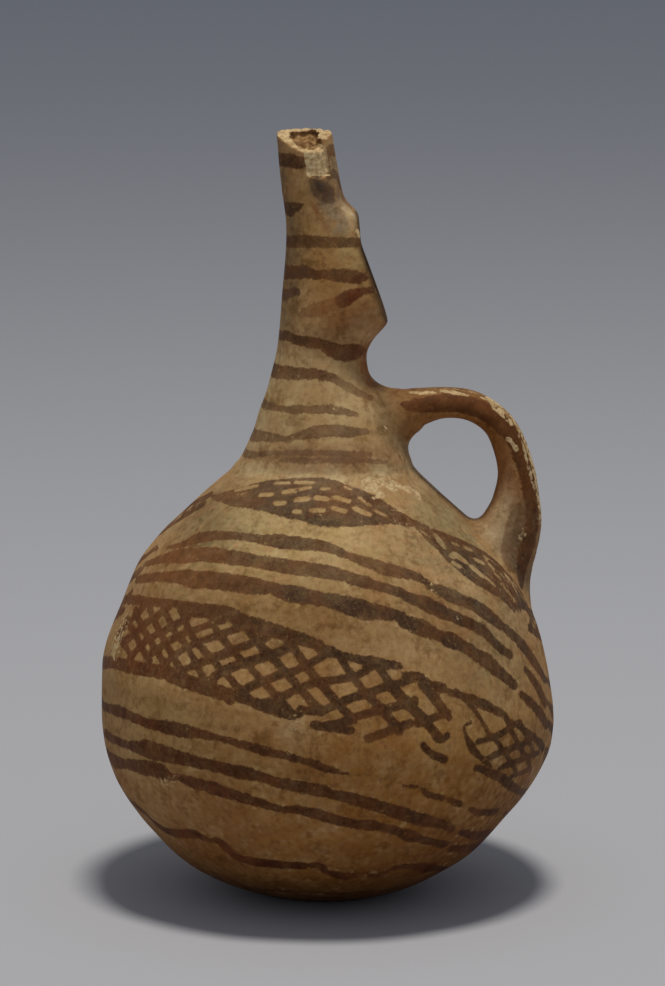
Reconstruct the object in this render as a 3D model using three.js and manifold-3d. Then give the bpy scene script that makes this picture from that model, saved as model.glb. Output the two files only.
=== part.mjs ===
// A hand-built, beak-spouted pottery jug with a round body, a cutaway mouth and a loop handle.
// Lengths are in millimetres, +Z is up and the origin is the middle of the flat the jug rests on.
// The handle points to +X and the beak leans to -X, in the plane Y = 0.
import * as THREE from "three";
import { mergeVertices } from "three/addons/utils/BufferGeometryUtils.js";
import Module from "manifold-3d";

const wasm = await Module();
wasm.setup();

// Body: a slightly squat ball whose widest ring lies below its middle
const bodyRadius = 58.8;
const bellyHeight = 46;
const bodyHeight = 112;
const footRadius = 17;
const bodyWall = 4.2;
const floorThickness = 6.5;
// [height from the foot to the belly, radius from the foot to the belly]
const underBellyShares = [
  [0, 0], [0.05, 0.18], [0.12, 0.345], [0.2, 0.49], [0.29, 0.61], [0.41, 0.735],
  [0.54, 0.84], [0.67, 0.915], [0.8, 0.965], [0.9, 0.99], [1, 1],
];
// [height from the belly to the neck's foot, radius from the neck's foot to the belly]
const overBellyShares = [
  [0, 1], [0.12, 0.989], [0.21, 0.97], [0.3, 0.935], [0.39, 0.885], [0.48, 0.82], [0.57, 0.74],
  [0.65, 0.65], [0.73, 0.54], [0.82, 0.385], [0.91, 0.2], [1, 0],
];

// Neck: a cone that leans a little to the beak's side and ends at its waist
const neckFootRadius = 21.7;
const neckWaistRadius = 11.8;
const neckWaistLean = 1.6;
const neckHeight = 29;
const neckFootWall = 5.6;
const neckWall = 3.7;
const neckRootDepth = 5;
// [height from the foot to the waist, flare from the waist to the foot, lean of the waist's lean]
const neckShares = [
  [0, 1, 0], [0.07, 0.93, 0], [0.16, 0.82, 0], [0.28, 0.67, 0.15], [0.42, 0.5, 0.45], [0.56, 0.32, 0.8],
  [0.7, 0.165, 1.05], [0.85, 0.05, 1.08], [1, 0, 1],
];

// Mouth: the neck opens into a flared lip and is cut away on the handle's side
const mouthHeight = 39;
const lipRise = 8.3;
const lipReach = 15.6;
const cutBendRise = 27.5;
const cutBendReach = 8.5;
const cutTopReach = 7.5;
// [height of the mouth's height, reach to the beak's side, reach to the handle's side, half depth],
// the last three in waist radii
const mouthShares = [
  [0, 1.136, 0.864, 1], [0.05, 1.11, 0.9, 1], [0.1, 1.085, 1.02, 1.01], [0.16, 1.06, 1.19, 1.04],
  [0.22, 1.04, 1.34, 1.06], [0.3, 1.01, 1.52, 1.05], [0.41, 0.975, 1.64, 0.99], [0.54, 0.935, 1.6, 0.9],
  [0.67, 0.905, 1.4, 0.81], [0.79, 0.89, 1.12, 0.73], [0.89, 0.9, 0.84, 0.67], [0.95, 0.92, 0.62, 0.64],
];

// Spout: the beak's sides meet above the mouth in a tube that leans out over the body
const spoutHeight = 18.3;
const spoutRootRadius = 7.9;
const spoutRootLean = 3.2;
const spoutTipRadius = 7.1;
const spoutTipLean = 6.1;
const spoutHalfDepth = 7.1;
const spoutWall = 3.6;
const spoutEndDrop = 1.2;

// Damage at the spout's end: a chipped front lip and a patch where the surface has flaked off
const lipChipWidth = 13;
const lipChipDepth = 4.4;
const lipChipInset = 4.6;
const flakeWidth = 7.2;
const flakeHeight = 7.4;
const flakeDepth = 0.9;
const flakeDrop = 3.8;
const flakeOffset = 2.4;

// Handle: a round loop from the neck to the shoulder, its lower end a tenon through the wall
const handleTopRise = 16.1;
const handleRootDrop = 22.5;
const handleStandOff = 3.1;
const handleThickness = 7.8;
const handleWidth = 10.8;
const tenonThickness = 6;
const tenonWidth = 8;
const tenonProud = 1.6;
// [reach from the neck's waist to the leg, height from the root to the top, thickness, width],
// the last two in the handle's own thickness and width
const handleShares = [
  [0, 0.894, 2, 1.62], [0.14, 0.915, 1.8, 1.48], [0.237, 0.94, 1.53, 1.32], [0.333, 0.975, 1.19, 1.14],
  [0.496, 1, 1, 1.03], [0.687, 0.978, 0.985, 1], [0.85, 0.878, 1, 1], [0.942, 0.738, 1.09, 1.01],
  [0.993, 0.545, 1.22, 1.04], [1, 0.375, 1.47, 1.11], [0.983, 0.233, 1.86, 1.25], [0.923, 0.065, 2.33, 1.5],
];
// The same two last shares where the tenon starts, inside the wall
const handleRootShares = [3.4, 1.8];

// Joints: the leather-hard pieces meet in bevelled seams, with a film of slip between them
const slipGap = 0.3;
const bellySeamRise = 3.8;
const mouthSeamHeight = 2.6;
const mouthSeamDrop = 2.2;
const spoutSeamDrop = 1.6;
const neckSeatDrop = 2;
const footCoilHeight = 6.4;
const footCoilThickness = 2.4;
const upperLutingSpread = 10.6;
const lowerLutingRise = 8.1;
const seamCoilWidth = 10;
const seamCoilThickness = 1.9;

// Cutters run this far past what they cut
const overrun = 30;

const bodySides = 44;
const neckSides = 32;
const handleSides = 18;
const underBellyRings = 9;
const overBellyRings = 11;
const neckRings = 7;
const mouthRings = 11;
const spoutRings = 3;
const handleRings = 19;
const coilSteps = 4;

const waistHeight = bodyHeight + neckHeight;
const spoutRootHeight = waistHeight + mouthHeight;
const jugHeight = spoutRootHeight + spoutHeight;
const handleTopHeight = bodyHeight + handleTopRise;
const handleRootHeight = bodyHeight - handleRootDrop;

// three.js geometry to and from the solids that are joined and cut
function solidFrom(geometry) {
  const bare = geometry.clone();
  bare.deleteAttribute("normal");
  bare.deleteAttribute("uv");
  const merged = mergeVertices(bare);
  return new wasm.Manifold(
    new wasm.Mesh({
      numProp: 3,
      vertProperties: new Float32Array(merged.attributes.position.array),
      triVerts: new Uint32Array(merged.index.array),
    }),
  );
}

function geometryFrom(solid) {
  const mesh = solid.getMesh();
  const geometry = new THREE.BufferGeometry();
  geometry.setAttribute("position", new THREE.BufferAttribute(mesh.vertProperties, 3));
  geometry.setIndex(new THREE.BufferAttribute(mesh.triVerts, 1));
  geometry.computeVertexNormals();
  return geometry;
}

// A smooth curve through the rows of a table whose first column rises, read at steps equal parts
function smoothRows(rows, steps) {
  const knots = rows.map((row) => row[0]);
  const width = rows[0].length - 1;
  const curve = new THREE.CubicInterpolant(knots, rows.flatMap((row) => row.slice(1)), width);
  return Array.from({ length: steps + 1 }, (_, i) => {
    const at = THREE.MathUtils.lerp(knots[0], knots.at(-1), i / steps);
    return [at, ...curve.evaluate(at)];
  });
}

// A closed [radius, height] outline turned about the upright axis
function revolve(outline) {
  const points = outline.map(([radius, height]) => new THREE.Vector2(radius, height));
  return solidFrom(new THREE.LatheGeometry(points, bodySides).rotateX(Math.PI / 2));
}

// A closed [x, z] outline made into a slab that is as deep as depth, centred on the plane Y = 0
function slab(outline, depth) {
  const shape = new THREE.Shape(outline.map(([x, z]) => new THREE.Vector2(x, z)));
  const geometry = new THREE.ExtrudeGeometry(shape, { depth, bevelEnabled: false });
  return solidFrom(geometry.translate(0, 0, -depth / 2).rotateX(Math.PI / 2));
}

// Rings of equal point counts joined into one closed skin with flat ends
function loft(rings) {
  const sides = rings[0].length;
  const points = rings.flat();
  const middle = (ring) => ring.reduce((sum, p) => sum.add(p), new THREE.Vector3()).divideScalar(sides);
  const first = points.length;
  points.push(middle(rings[0]), middle(rings.at(-1)));
  const faces = [];
  for (let side = 0; side < sides; side++) {
    const next = (side + 1) % sides;
    for (let ring = 0; ring < rings.length - 1; ring++) {
      const low = ring * sides;
      const high = low + sides;
      faces.push(low + side, low + next, high + next, low + side, high + next, high + side);
    }
    const last = (rings.length - 1) * sides;
    faces.push(first, next, side, first + 1, last + side, last + next);
  }
  const geometry = new THREE.BufferGeometry().setFromPoints(points);
  return solidFrom(geometry.setIndex(faces));
}

// The body's outline from the foot up, as [radius, height]
function bodyOutline() {
  const under = smoothRows(underBellyShares, underBellyRings).map(([up, out]) => [
    THREE.MathUtils.lerp(footRadius, bodyRadius, out),
    up * bellyHeight,
  ]);
  const over = smoothRows(overBellyShares, overBellyRings).map(([up, out]) => [
    THREE.MathUtils.lerp(neckFootRadius, bodyRadius, out),
    THREE.MathUtils.lerp(bellyHeight, bodyHeight, up),
  ]);
  return [...under, ...over.slice(1)];
}

// The same outline moved outwards by an offset, square to itself
function offsetOutline(offset) {
  const outline = bodyOutline();
  return outline.map(([radius, height], i) => {
    const before = outline[Math.max(i - 1, 0)];
    const after = outline[Math.min(i + 1, outline.length - 1)];
    const along = new THREE.Vector2(after[0] - before[0], after[1] - before[1]).normalize();
    return [radius + along.y * offset, height - along.x * offset];
  });
}

function bodySolid(offset) {
  const outline = offsetOutline(offset);
  return revolve([[0, outline[0][1]], ...outline, [0, outline.at(-1)[1]]]);
}

// The radius and outward direction of the body's skin at a height above the belly
function skinAt(height) {
  const outline = bodyOutline();
  const next = outline.findIndex((point, i) => i > 0 && point[1] >= height && outline[i - 1][1] >= 0);
  const [low, high] = [outline[next - 1], outline[next]];
  const share = (height - low[1]) / (high[1] - low[1]);
  const along = new THREE.Vector2(high[0] - low[0], high[1] - low[1]).normalize();
  return { radius: THREE.MathUtils.lerp(low[0], high[0], share), out: new THREE.Vector2(along.y, -along.x) };
}

// The neck, mouth and spout as rows of [height, reach to the beak, reach to the handle, half depth]
function neckRows() {
  const cone = smoothRows(neckShares, neckRings).map(([up, flare, lean]) => {
    const radius = THREE.MathUtils.lerp(neckWaistRadius, neckFootRadius, flare);
    const shift = lean * neckWaistLean;
    return [bodyHeight + up * neckHeight, radius + shift, radius - shift, radius];
  });
  const spoutRoot = [1, spoutRootRadius + spoutRootLean, spoutRootRadius - spoutRootLean, spoutHalfDepth];
  const open = mouthShares.map(([up, ...reaches]) => [up, ...reaches.map((reach) => reach * neckWaistRadius)]);
  const mouth = smoothRows([...open, spoutRoot], mouthRings).map(([up, ...reaches]) => [
    waistHeight + up * mouthHeight,
    ...reaches,
  ]);
  const spout = Array.from({ length: spoutRings }, (_, i) => {
    const up = (i + 1) / spoutRings;
    const radius = THREE.MathUtils.lerp(spoutRootRadius, spoutTipRadius, up);
    const lean = THREE.MathUtils.lerp(spoutRootLean, spoutTipLean, up);
    return [spoutRootHeight + up * spoutHeight, radius + lean, radius - lean, spoutHalfDepth];
  });
  return [...cone, ...mouth.slice(1), ...spout];
}

// An oval ring at a height that reaches back to the beak's side and forward to the handle's
function ovalRing(height, back, front, depth) {
  const middle = (front - back) / 2;
  const half = (front + back) / 2;
  return Array.from({ length: neckSides }, (_, i) => {
    const turn = (i / neckSides) * 2 * Math.PI;
    return new THREE.Vector3(middle + half * Math.cos(turn), depth * Math.sin(turn), height);
  });
}

// The neck's skin moved outwards by the offset that a function gives for each height
function neckSolid(offsetAt) {
  const rows = neckRows();
  const rings = rows.map(([height, back, front, depth]) => {
    const offset = offsetAt(height);
    return ovalRing(height, back + offset, front + offset, depth + offset);
  });
  const root = rows[0];
  const rootFlare = neckRootDepth / 2 + offsetAt(root[0]);
  const foot = ovalRing(bodyHeight - neckRootDepth, root[1] + rootFlare, root[2] + rootFlare, root[3] + rootFlare);
  const tip = rows.at(-1);
  const end = offsetAt(jugHeight);
  const top = ovalRing(jugHeight + overrun, tip[1] + end, tip[2] + end, tip[3] + end);
  return loft([foot, ...rings, top]);
}

// The wall is thickest where the neck stands on the body
function neckWallAt(height) {
  if (height > spoutRootHeight) return spoutWall;
  return THREE.MathUtils.mapLinear(Math.min(height, waistHeight), bodyHeight, waistHeight, neckFootWall, neckWall);
}

// Everything below a level
function below(height) {
  const wide = bodyRadius + overrun;
  return revolve([
    [0, -overrun],
    [wide, -overrun],
    [wide, height],
    [0, height],
  ]);
}

// Everything below a seam that rises across a wall, from its height at the wall's inner radius
function belowSeam(height, radius, wall, rise, lift) {
  const slope = rise / wall;
  const level = height + lift * Math.hypot(1, slope);
  const inner = radius - wall;
  const wide = bodyRadius + overrun;
  return revolve([
    [0, -overrun],
    [wide, -overrun],
    [wide, level + slope * (wide - inner)],
    [inner, level],
    [0, level],
  ]);
}

// What is cut away on the handle's side to open the mouth, and above the spout's end
function mouthCut() {
  const wide = bodyRadius + overrun;
  const lip = waistHeight + lipRise;
  return slab(
    [
      [lipReach, lip],
      [wide, lip],
      [wide, jugHeight],
      [cutTopReach, jugHeight],
      [cutTopReach, waistHeight + mouthHeight - neckWall / 2],
      [cutBendReach, waistHeight + cutBendRise],
    ],
    2 * bodyRadius,
  );
}

function endCut() {
  const wide = bodyRadius + overrun;
  const slope = spoutEndDrop / (2 * spoutTipRadius);
  const levelAt = (x) => jugHeight + slope * (x + spoutTipLean - spoutTipRadius);
  return slab(
    [
      [-wide, levelAt(-wide)],
      [wide, levelAt(wide)],
      [wide, jugHeight + 2 * overrun],
      [-wide, jugHeight + 2 * overrun],
    ],
    2 * bodyRadius,
  );
}

// The chip in the front lip, an oval scoop, and the shallow flaked patch under it
function lipDamage() {
  const scoop = new THREE.SphereGeometry(1, neckSides / 2, neckSides / 4);
  scoop.scale(lipChipWidth / 2, lipChipInset, lipChipDepth);
  scoop.translate(-spoutTipLean, -spoutHalfDepth, jugHeight);
  const flake = new THREE.BoxGeometry(flakeWidth, flakeDepth + overrun, flakeHeight);
  flake.translate(
    flakeOffset - spoutTipLean,
    flakeDepth / 2 - overrun / 2 - spoutHalfDepth,
    jugHeight - flakeDrop - flakeHeight / 2,
  );
  return solidFrom(scoop).add(solidFrom(flake));
}

// The handle's middle line and the thickness and width it has there
function handlePath() {
  const { radius, out } = skinAt(handleRootHeight);
  const points = [];
  const sizes = [];
  for (const [reach, rise, thickness, width] of handleShares) {
    const x = THREE.MathUtils.lerp(neckWaistRadius, radius + handleStandOff, reach);
    const z = THREE.MathUtils.lerp(handleRootHeight, handleTopHeight, rise);
    points.push(new THREE.Vector3(x, 0, z));
    sizes.push([thickness * handleThickness, width * handleWidth]);
  }
  const inside = bodyWall + tenonProud;
  points.push(new THREE.Vector3(radius - out.x * inside, 0, handleRootHeight - out.y * inside));
  sizes.push([handleRootShares[0] * handleThickness, handleRootShares[1] * handleWidth]);
  return { curve: new THREE.CatmullRomCurve3(points), sizes };
}

// Oval rings along a stretch of the handle's line, from one share of the curve to another
function sweep(from, to, steps, sizeAt) {
  const { curve } = handlePath();
  const rings = Array.from({ length: steps + 1 }, (_, i) => {
    const at = THREE.MathUtils.lerp(from, to, i / steps);
    const centre = curve.getPoint(at);
    const along = curve.getTangent(at);
    const across = new THREE.Vector3(along.z, 0, -along.x);
    const [thickness, width] = sizeAt(at);
    return Array.from({ length: handleSides }, (_, side) => {
      const turn = (side / handleSides) * 2 * Math.PI;
      const sideways = new THREE.Vector3(0, (Math.sin(turn) * width) / 2, 0);
      return centre.clone().addScaledVector(across, (Math.cos(turn) * thickness) / 2).add(sideways);
    });
  });
  return loft(rings);
}

function handleSkin() {
  const { sizes } = handlePath();
  const spans = sizes.length - 1;
  const table = sizes.map((size, i) => [i / spans, ...size]);
  const thickness = new THREE.CubicInterpolant(table.map((r) => r[0]), table.flatMap((r) => r.slice(1)), 2);
  return sweep(0, 1, handleRings, (at) => [...thickness.evaluate(at)]);
}

// The slim core that carries each end of the handle under its luting
function handleCore(from, to, grow) {
  return sweep(from, to, handleRings / 2, () => [tenonThickness + 2 * grow, tenonWidth + 2 * grow]);
}

// The share of the handle's line where it first passes a test
function shareWhere(test) {
  const { curve } = handlePath();
  const steps = 400;
  for (let i = 0; i <= steps; i++) {
    if (test(curve.getPoint(i / steps))) return i / steps;
  }
  return 1;
}

// What lies on the neck's side of the upper luting's end
function upperRootZone(lift) {
  const reach = neckWaistRadius + upperLutingSpread + lift;
  const low = (bodyHeight + bellyHeight) / 2;
  return slab([[-overrun, low], [reach, low], [reach, jugHeight], [-overrun, jugHeight]], 2 * bodyRadius);
}

// What lies on the body's side of the lower luting's end
function lowerRootZone(lift) {
  const wide = bodyRadius + overrun;
  const level = handleRootHeight + lowerLutingRise + lift;
  return slab([[0, 0], [wide, 0], [wide, level], [0, level]], 2 * bodyRadius);
}

// The clay coil that fills the corner at the neck's foot lies outside the neck's own wall, below its top
function footCoilZone(grow) {
  const core = neckSolid(() => -footCoilThickness - grow);
  return below(bodyHeight + footCoilHeight + grow).subtract(core);
}

// The flat strip of clay pressed over the belly's seam from inside
function seamCoil() {
  const inner = offsetOutline(-bodyWall - slipGap);
  const seam = bellyHeight - seamCoilWidth / 2;
  const radiusAt = (height) => {
    const next = inner.findIndex((point, i) => i > 0 && point[1] >= height);
    const [low, high] = [inner[next - 1], inner[next]];
    return THREE.MathUtils.lerp(low[0], high[0], (height - low[1]) / (high[1] - low[1]));
  };
  const wallSide = [];
  const roomSide = [];
  for (let i = 0; i <= coilSteps; i++) {
    const height = seam + (seamCoilWidth * i) / coilSteps;
    const bulge = seamCoilThickness * Math.sin((Math.PI * (i + 1)) / (coilSteps + 2));
    wallSide.push([radiusAt(height), height]);
    roomSide.unshift([radiusAt(height) - bulge, height]);
  }
  return revolve([...wallSide, ...roomSide, wallSide[0]]);
}

// The whole pot's skin and hollow, before it is parted into the potter's pieces
function potSkin(grow) {
  return bodySolid(grow).add(neckSolid(() => grow));
}

function potClay() {
  const room = bodySolid(-bodyWall).subtract(below(floorThickness));
  const hollow = room.add(neckSolid((height) => -neckWallAt(height)));
  return potSkin(0).subtract(hollow).subtract(mouthCut()).subtract(endCut()).subtract(lipDamage());
}

function jugPieces() {
  const clay = potClay();
  const half = slipGap / 2;
  const bellySeam = (lift) => belowSeam(bellyHeight, bodyRadius, bodyWall, bellySeamRise, lift);
  const neckSeat = (lift) => below(bodyHeight - neckSeatDrop + lift);
  const mouthSeam = (lift) =>
    belowSeam(waistHeight + mouthSeamHeight, neckWaistRadius, neckWall, -mouthSeamDrop, lift);
  const spoutSeam = (lift) => belowSeam(spoutRootHeight, spoutRootRadius, spoutWall, -spoutSeamDrop, lift);

  const upperCut = shareWhere((point) => point.x > neckWaistRadius + upperLutingSpread);
  const lowerCut = shareWhere((point) => point.z < handleRootHeight + lowerLutingRise);
  const lap = 1 / handleRings;
  const upperCore = (grow) => handleCore(0, upperCut + lap, grow);
  const lowerCore = (grow) => handleCore(lowerCut - lap, 1, grow);

  const skin = handleSkin().subtract(potSkin(slipGap));
  const loop = skin.subtract(upperRootZone(slipGap)).subtract(lowerRootZone(slipGap));
  const aboveNeckSeat = clay.subtract(neckSeat(half));

  return {
    base_bowl: clay.intersect(bellySeam(-half)),
    shoulder_dome: clay.intersect(neckSeat(-half)).subtract(bellySeam(half)).subtract(lowerCore(slipGap)),
    belly_seam_coil: seamCoil(),
    neck_foot_coil: aboveNeckSeat.intersect(footCoilZone(0)),
    neck_tube: aboveNeckSeat.intersect(mouthSeam(-half)).subtract(footCoilZone(slipGap)),
    cutaway_mouth: clay.subtract(mouthSeam(half)).intersect(spoutSeam(-half)),
    spout_tube: clay.subtract(spoutSeam(half)),
    handle_loop: loop.add(upperCore(0).subtract(potSkin(slipGap))).add(lowerCore(0)),
    handle_upper_luting: skin.intersect(upperRootZone(0)).subtract(upperCore(slipGap)),
    handle_lower_luting: skin.intersect(lowerRootZone(0)).subtract(lowerCore(slipGap)),
  };
}

const clayFinish = { color: 0xb08a58, roughness: 0.82, metalness: 0 };
const paintedFinish = { color: 0xa98252, roughness: 0.8, metalness: 0 };
const bareFinish = { color: 0x9a7448, roughness: 0.9, metalness: 0 };
const finishes = { belly_seam_coil: bareFinish, handle_loop: paintedFinish };

const jug = new THREE.Group();
for (const [name, solid] of Object.entries(jugPieces())) {
  const material = new THREE.MeshStandardMaterial(finishes[name] ?? clayFinish);
  const piece = new THREE.Mesh(geometryFrom(solid), material);
  piece.name = name;
  jug.add(piece);
}

export default jug;
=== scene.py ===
"""A beak-spouted jug in hand-built, painted pottery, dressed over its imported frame."""

import math

import bmesh
import bpy
import numpy as np
from bpy.props import FloatProperty, FloatVectorProperty, PointerProperty
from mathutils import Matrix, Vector


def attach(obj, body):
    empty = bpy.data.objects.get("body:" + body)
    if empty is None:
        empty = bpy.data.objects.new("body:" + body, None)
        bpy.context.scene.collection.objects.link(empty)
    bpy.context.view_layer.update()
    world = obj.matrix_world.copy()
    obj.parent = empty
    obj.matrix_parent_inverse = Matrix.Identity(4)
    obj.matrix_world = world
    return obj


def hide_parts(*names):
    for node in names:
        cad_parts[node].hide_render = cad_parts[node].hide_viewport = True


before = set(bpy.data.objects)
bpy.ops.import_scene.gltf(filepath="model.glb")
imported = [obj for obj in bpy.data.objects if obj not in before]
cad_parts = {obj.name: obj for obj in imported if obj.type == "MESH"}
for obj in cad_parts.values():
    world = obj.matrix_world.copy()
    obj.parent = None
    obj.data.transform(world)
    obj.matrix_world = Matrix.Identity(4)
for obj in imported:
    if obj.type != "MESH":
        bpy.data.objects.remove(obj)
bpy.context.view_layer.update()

bl_info = {
    "name": "Beak-spouted jug",
    "version": (1, 0, 0),
    "blender": (4, 5, 0),
    "location": "3D View > Sidebar > Jug",
    "description": "Builds a hand-made, painted pottery jug with a cutaway mouth and a beak spout",
    "category": "Add Mesh",
}

# Shape functions below work in millimetres; MM takes them to Blender's metres
MM = 0.001

# The pot from its flat to the spout's end: height, reach to the beak's side, reach to the handle's, half depth
POT_ROWS = (
    (-4, 9, 7, 8), (0, 18.2, 15.8, 17), (1, 21.5, 19.2, 20.4), (2.3, 25.4, 23, 24.2), (5.4, 32.1, 29.5, 30.9),
    (9.9, 39.3, 36.7, 38.1), (12.9, 42.9, 40.5, 41.7), (15.7, 45.5, 43.1, 44.3), (19.1, 48.4, 46.2, 47.4),
    (22, 50.5, 48.7, 49.7), (24.8, 52.5, 51.1, 51.9), (27.6, 54, 53, 53.6), (30.4, 55.2, 54.6, 55),
    (33.4, 56.2, 55.8, 56.1), (36.4, 57.2, 57, 57.2), (39.3, 57.9, 57.9, 57.9), (45, 58.8, 58.7, 58.75),
    (51, 58.7, 58.6, 58.6), (57, 58.5, 57.7, 58.1), (60, 58.5, 57.1, 57.8), (63, 57.9, 56.3, 57.1),
    (66.4, 56.9, 55.3, 56.1), (72.5, 54.7, 53.3, 54), (79, 52, 51.2, 51.7), (85, 49.4, 48.6, 49),
    (88, 47.5, 46.6, 47), (91, 45, 44, 44.5), (94, 42.3, 40.9, 41.6), (97.3, 39, 37.5, 38.3), (100.6, 35.7, 34, 34.8),
    (103.8, 32.4, 30.4, 31.5), (107, 28.9, 26.9, 27.9), (109.5, 25.6, 24, 24.8), (112, 22.6, 21.6, 22.1),
    (114.5, 21.1, 20.6, 20.8), (117, 20.1, 19.5, 19.8), (121, 18.5, 17.9, 18.2), (126, 17.2, 15.6, 16.4),
    (131, 15.7, 12.9, 14.3), (136, 14.6, 10.8, 12.7), (141, 13.4, 10.2, 11.8), (144.9, 12.8, 11.9, 11.9),
    (147.2, 12.5, 14, 12.3), (149.6, 12.2, 15.9, 12.5), (152.7, 11.9, 17.9, 12.4), (157, 11.5, 19.4, 11.7),
    (162.1, 11, 18.9, 10.6), (167.1, 10.7, 16.5, 9.6), (171.8, 10.5, 13.2, 8.6), (175.7, 10.6, 9.9, 7.9),
    (178, 10.9, 7.4, 7.55), (180, 11.1, 5, 7.2), (182, 11.4, 4.1, 7.1), (186, 12, 3.2, 7.1), (191.6, 12.5, 2.2, 7.1),
    (197, 13, 1.4, 7.1), (204, 13.6, 0.4, 7.1),
)
# The wall's thickness up the neck: height, thickness
WALL_ROWS = ((108, 5.8), (112, 5.6), (141, 3.7), (180, 3.6), (204, 3.6))
# The line that the mouth is cut along: height, reach to the handle's side
CUT_ROWS = ((149.3, 15.6), (168.5, 8.6), (177.3, 7.9), (179.4, 7.1), (204, 6.4))
# The handle's middle line: reach, height, thickness, width
HANDLE_ROWS = (
    (11.8, 124, 15.6, 17.5), (16.9, 124.8, 14, 16), (20.5, 125.8, 12, 14.3), (24, 127.1, 9.3, 12.3),
    (30, 128.1, 7.8, 11.1), (37, 127.2, 7.7, 10.8), (43, 123.4, 7.8, 10.8), (46.4, 118, 8.5, 10.9),
    (48.2, 110.6, 9.5, 11.2), (48.5, 104, 11.5, 12), (47.9, 98.5, 14.5, 13.5), (45.7, 92, 18.2, 16.2),
    (41, 86, 26, 19.4), (36, 80, 28, 20),
)

# The edge of the neck's clay, smeared out on the shoulder: bearing and height
LEDGE_ROWS = (
    (0, 112.6), (60, 112), (120, 111.6), (180, 110.8), (211, 112.8), (256, 114.2), (285, 114.2), (335, 113),
    (360, 112.6),
)
# How far that edge stands out, how wide its step is and how far up the neck it fades, in mm
LEDGE_RISE, LEDGE_WIDE, LEDGE_FADE = 0.38, 2, 11
# How much of the hand-built unevenness shows at each height: the foot and the neck were smoothed more
UNEVEN_ROWS = ((0, 0.2), (8, 1), (105, 1), (150, 0.45))
# Roundness of the edge of the flat that the jug stands on
FOOT_EDGE = 1.2
# What the handle has of the wobble and of the dents, and the distance that stands for far from it
HANDLE_WOBBLE, HANDLE_DENTS, HANDLE_FAR = 0.5, 1.5, 30.0
# Boxes round the handle, for its clay and for what is painted on it: least reach, half width, lowest and highest
HANDLE_BOX = (6, 20, 66, 142)
HANDLE_PAINT_BOX = (6, 18, 70, 140)

# Heights of the joints between the clay pieces
BELLY_SEAM = 48.0
NECK_SEAT = 110.0
MOUTH_SEAM = 143.0
SPOUT_SEAM = 180.5
CAVITY_FLOOR = 107.0
# The spout's broken end: bearing and height of its edge
END_ROWS = (
    (0, 197.9), (60, 198), (120, 197.9), (180, 197.8), (198, 197.1), (230, 195.5), (250, 194.1), (262, 193.7),
    (300, 193.6), (316, 193.8), (321, 196.6), (342, 197.7), (360, 197.9),
)
# The flake that came off the spout's front under its end: bearing and how deep, in mm, down to FLAKE_FOOT
FLAKE_ROWS = ((262, 0), (271, 0.4), (300, 0.7), (313, 1.0), (316.5, 1.0), (318.5, 0), (360, 0))
FLAKE_FOOT = 187.1
# The break works on the clay above this height
BREAK_FOOT = FLAKE_FOOT - 4
# Unevenness of the broken end, of the flake's foot and of the soil, in mm, and how much it varies the flake's depth
END_ROUGH, FOOT_ROUGH, SOIL_ROUGH, FLAKE_ROUGH = 0.1, 0.35, 0.3, 0.07
# Height of the step at the flake's foot, roundness of the broken edge and of the soil's, and the least flake
FOOT_STEP, END_EDGE, SOIL_EDGE, FLAKE_LEAST = 0.7, 0.7, 0.4, 0.02
# Soil packed in the spout: its height, slope to the front, foot and how far its side lies inside the pot's outline
SOIL_TOP, SOIL_SLOPE, SOIL_FOOT, SOIL_INSET = 195.0, 0.32, 187.0, 3.0
# Pits in the soil: place, width and depth
SOIL_PITS = ((-7.2, -0.8, 1.3, 3.0), (-2.6, 0.3, 1.0, 2.6))

SEAMS = (BELLY_SEAM, NECK_SEAT, MOUTH_SEAM, SPOUT_SEAM)
SKIN_PIECES = ("body_bowl", "body_shoulder", "neck", "mouth", "spout")
# The body's inner wall, which only its thickness shows: sides and heights of its coarse rings, down and up
WALL_SIDES = 72
BOWL_RINGS = (42, 36, 30, 24, 18, 13)
DOME_RINGS = (54, 60, 66, 72, 78, 84, 90, 95, 99, 103)
# The lowest ring, and how much thicker the wall is there
FLOOR_RING, FLOOR_FLARE = 8, 1.5
# The middle of the floor on X, and how deep in the clay each root of the handle is closed
FLOOR_MIDDLE, ROOT_DEPTH = -1.0, 1.5
QUICK_GRAIN, SNAP = 1.7, 0.3
# The box that the whole skin lies in
SKIN_BOX = ((-63, -63, -3), (63, 63, 203))
# Faces this near to a seam are looked at for its cut, and points this near to it lie on it
SEAM_REACH, ON_SEAM = 4, 0.0005
# Places further than this inside the outline are on the wall's inner side
INNER_SIDE = -1.5

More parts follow.
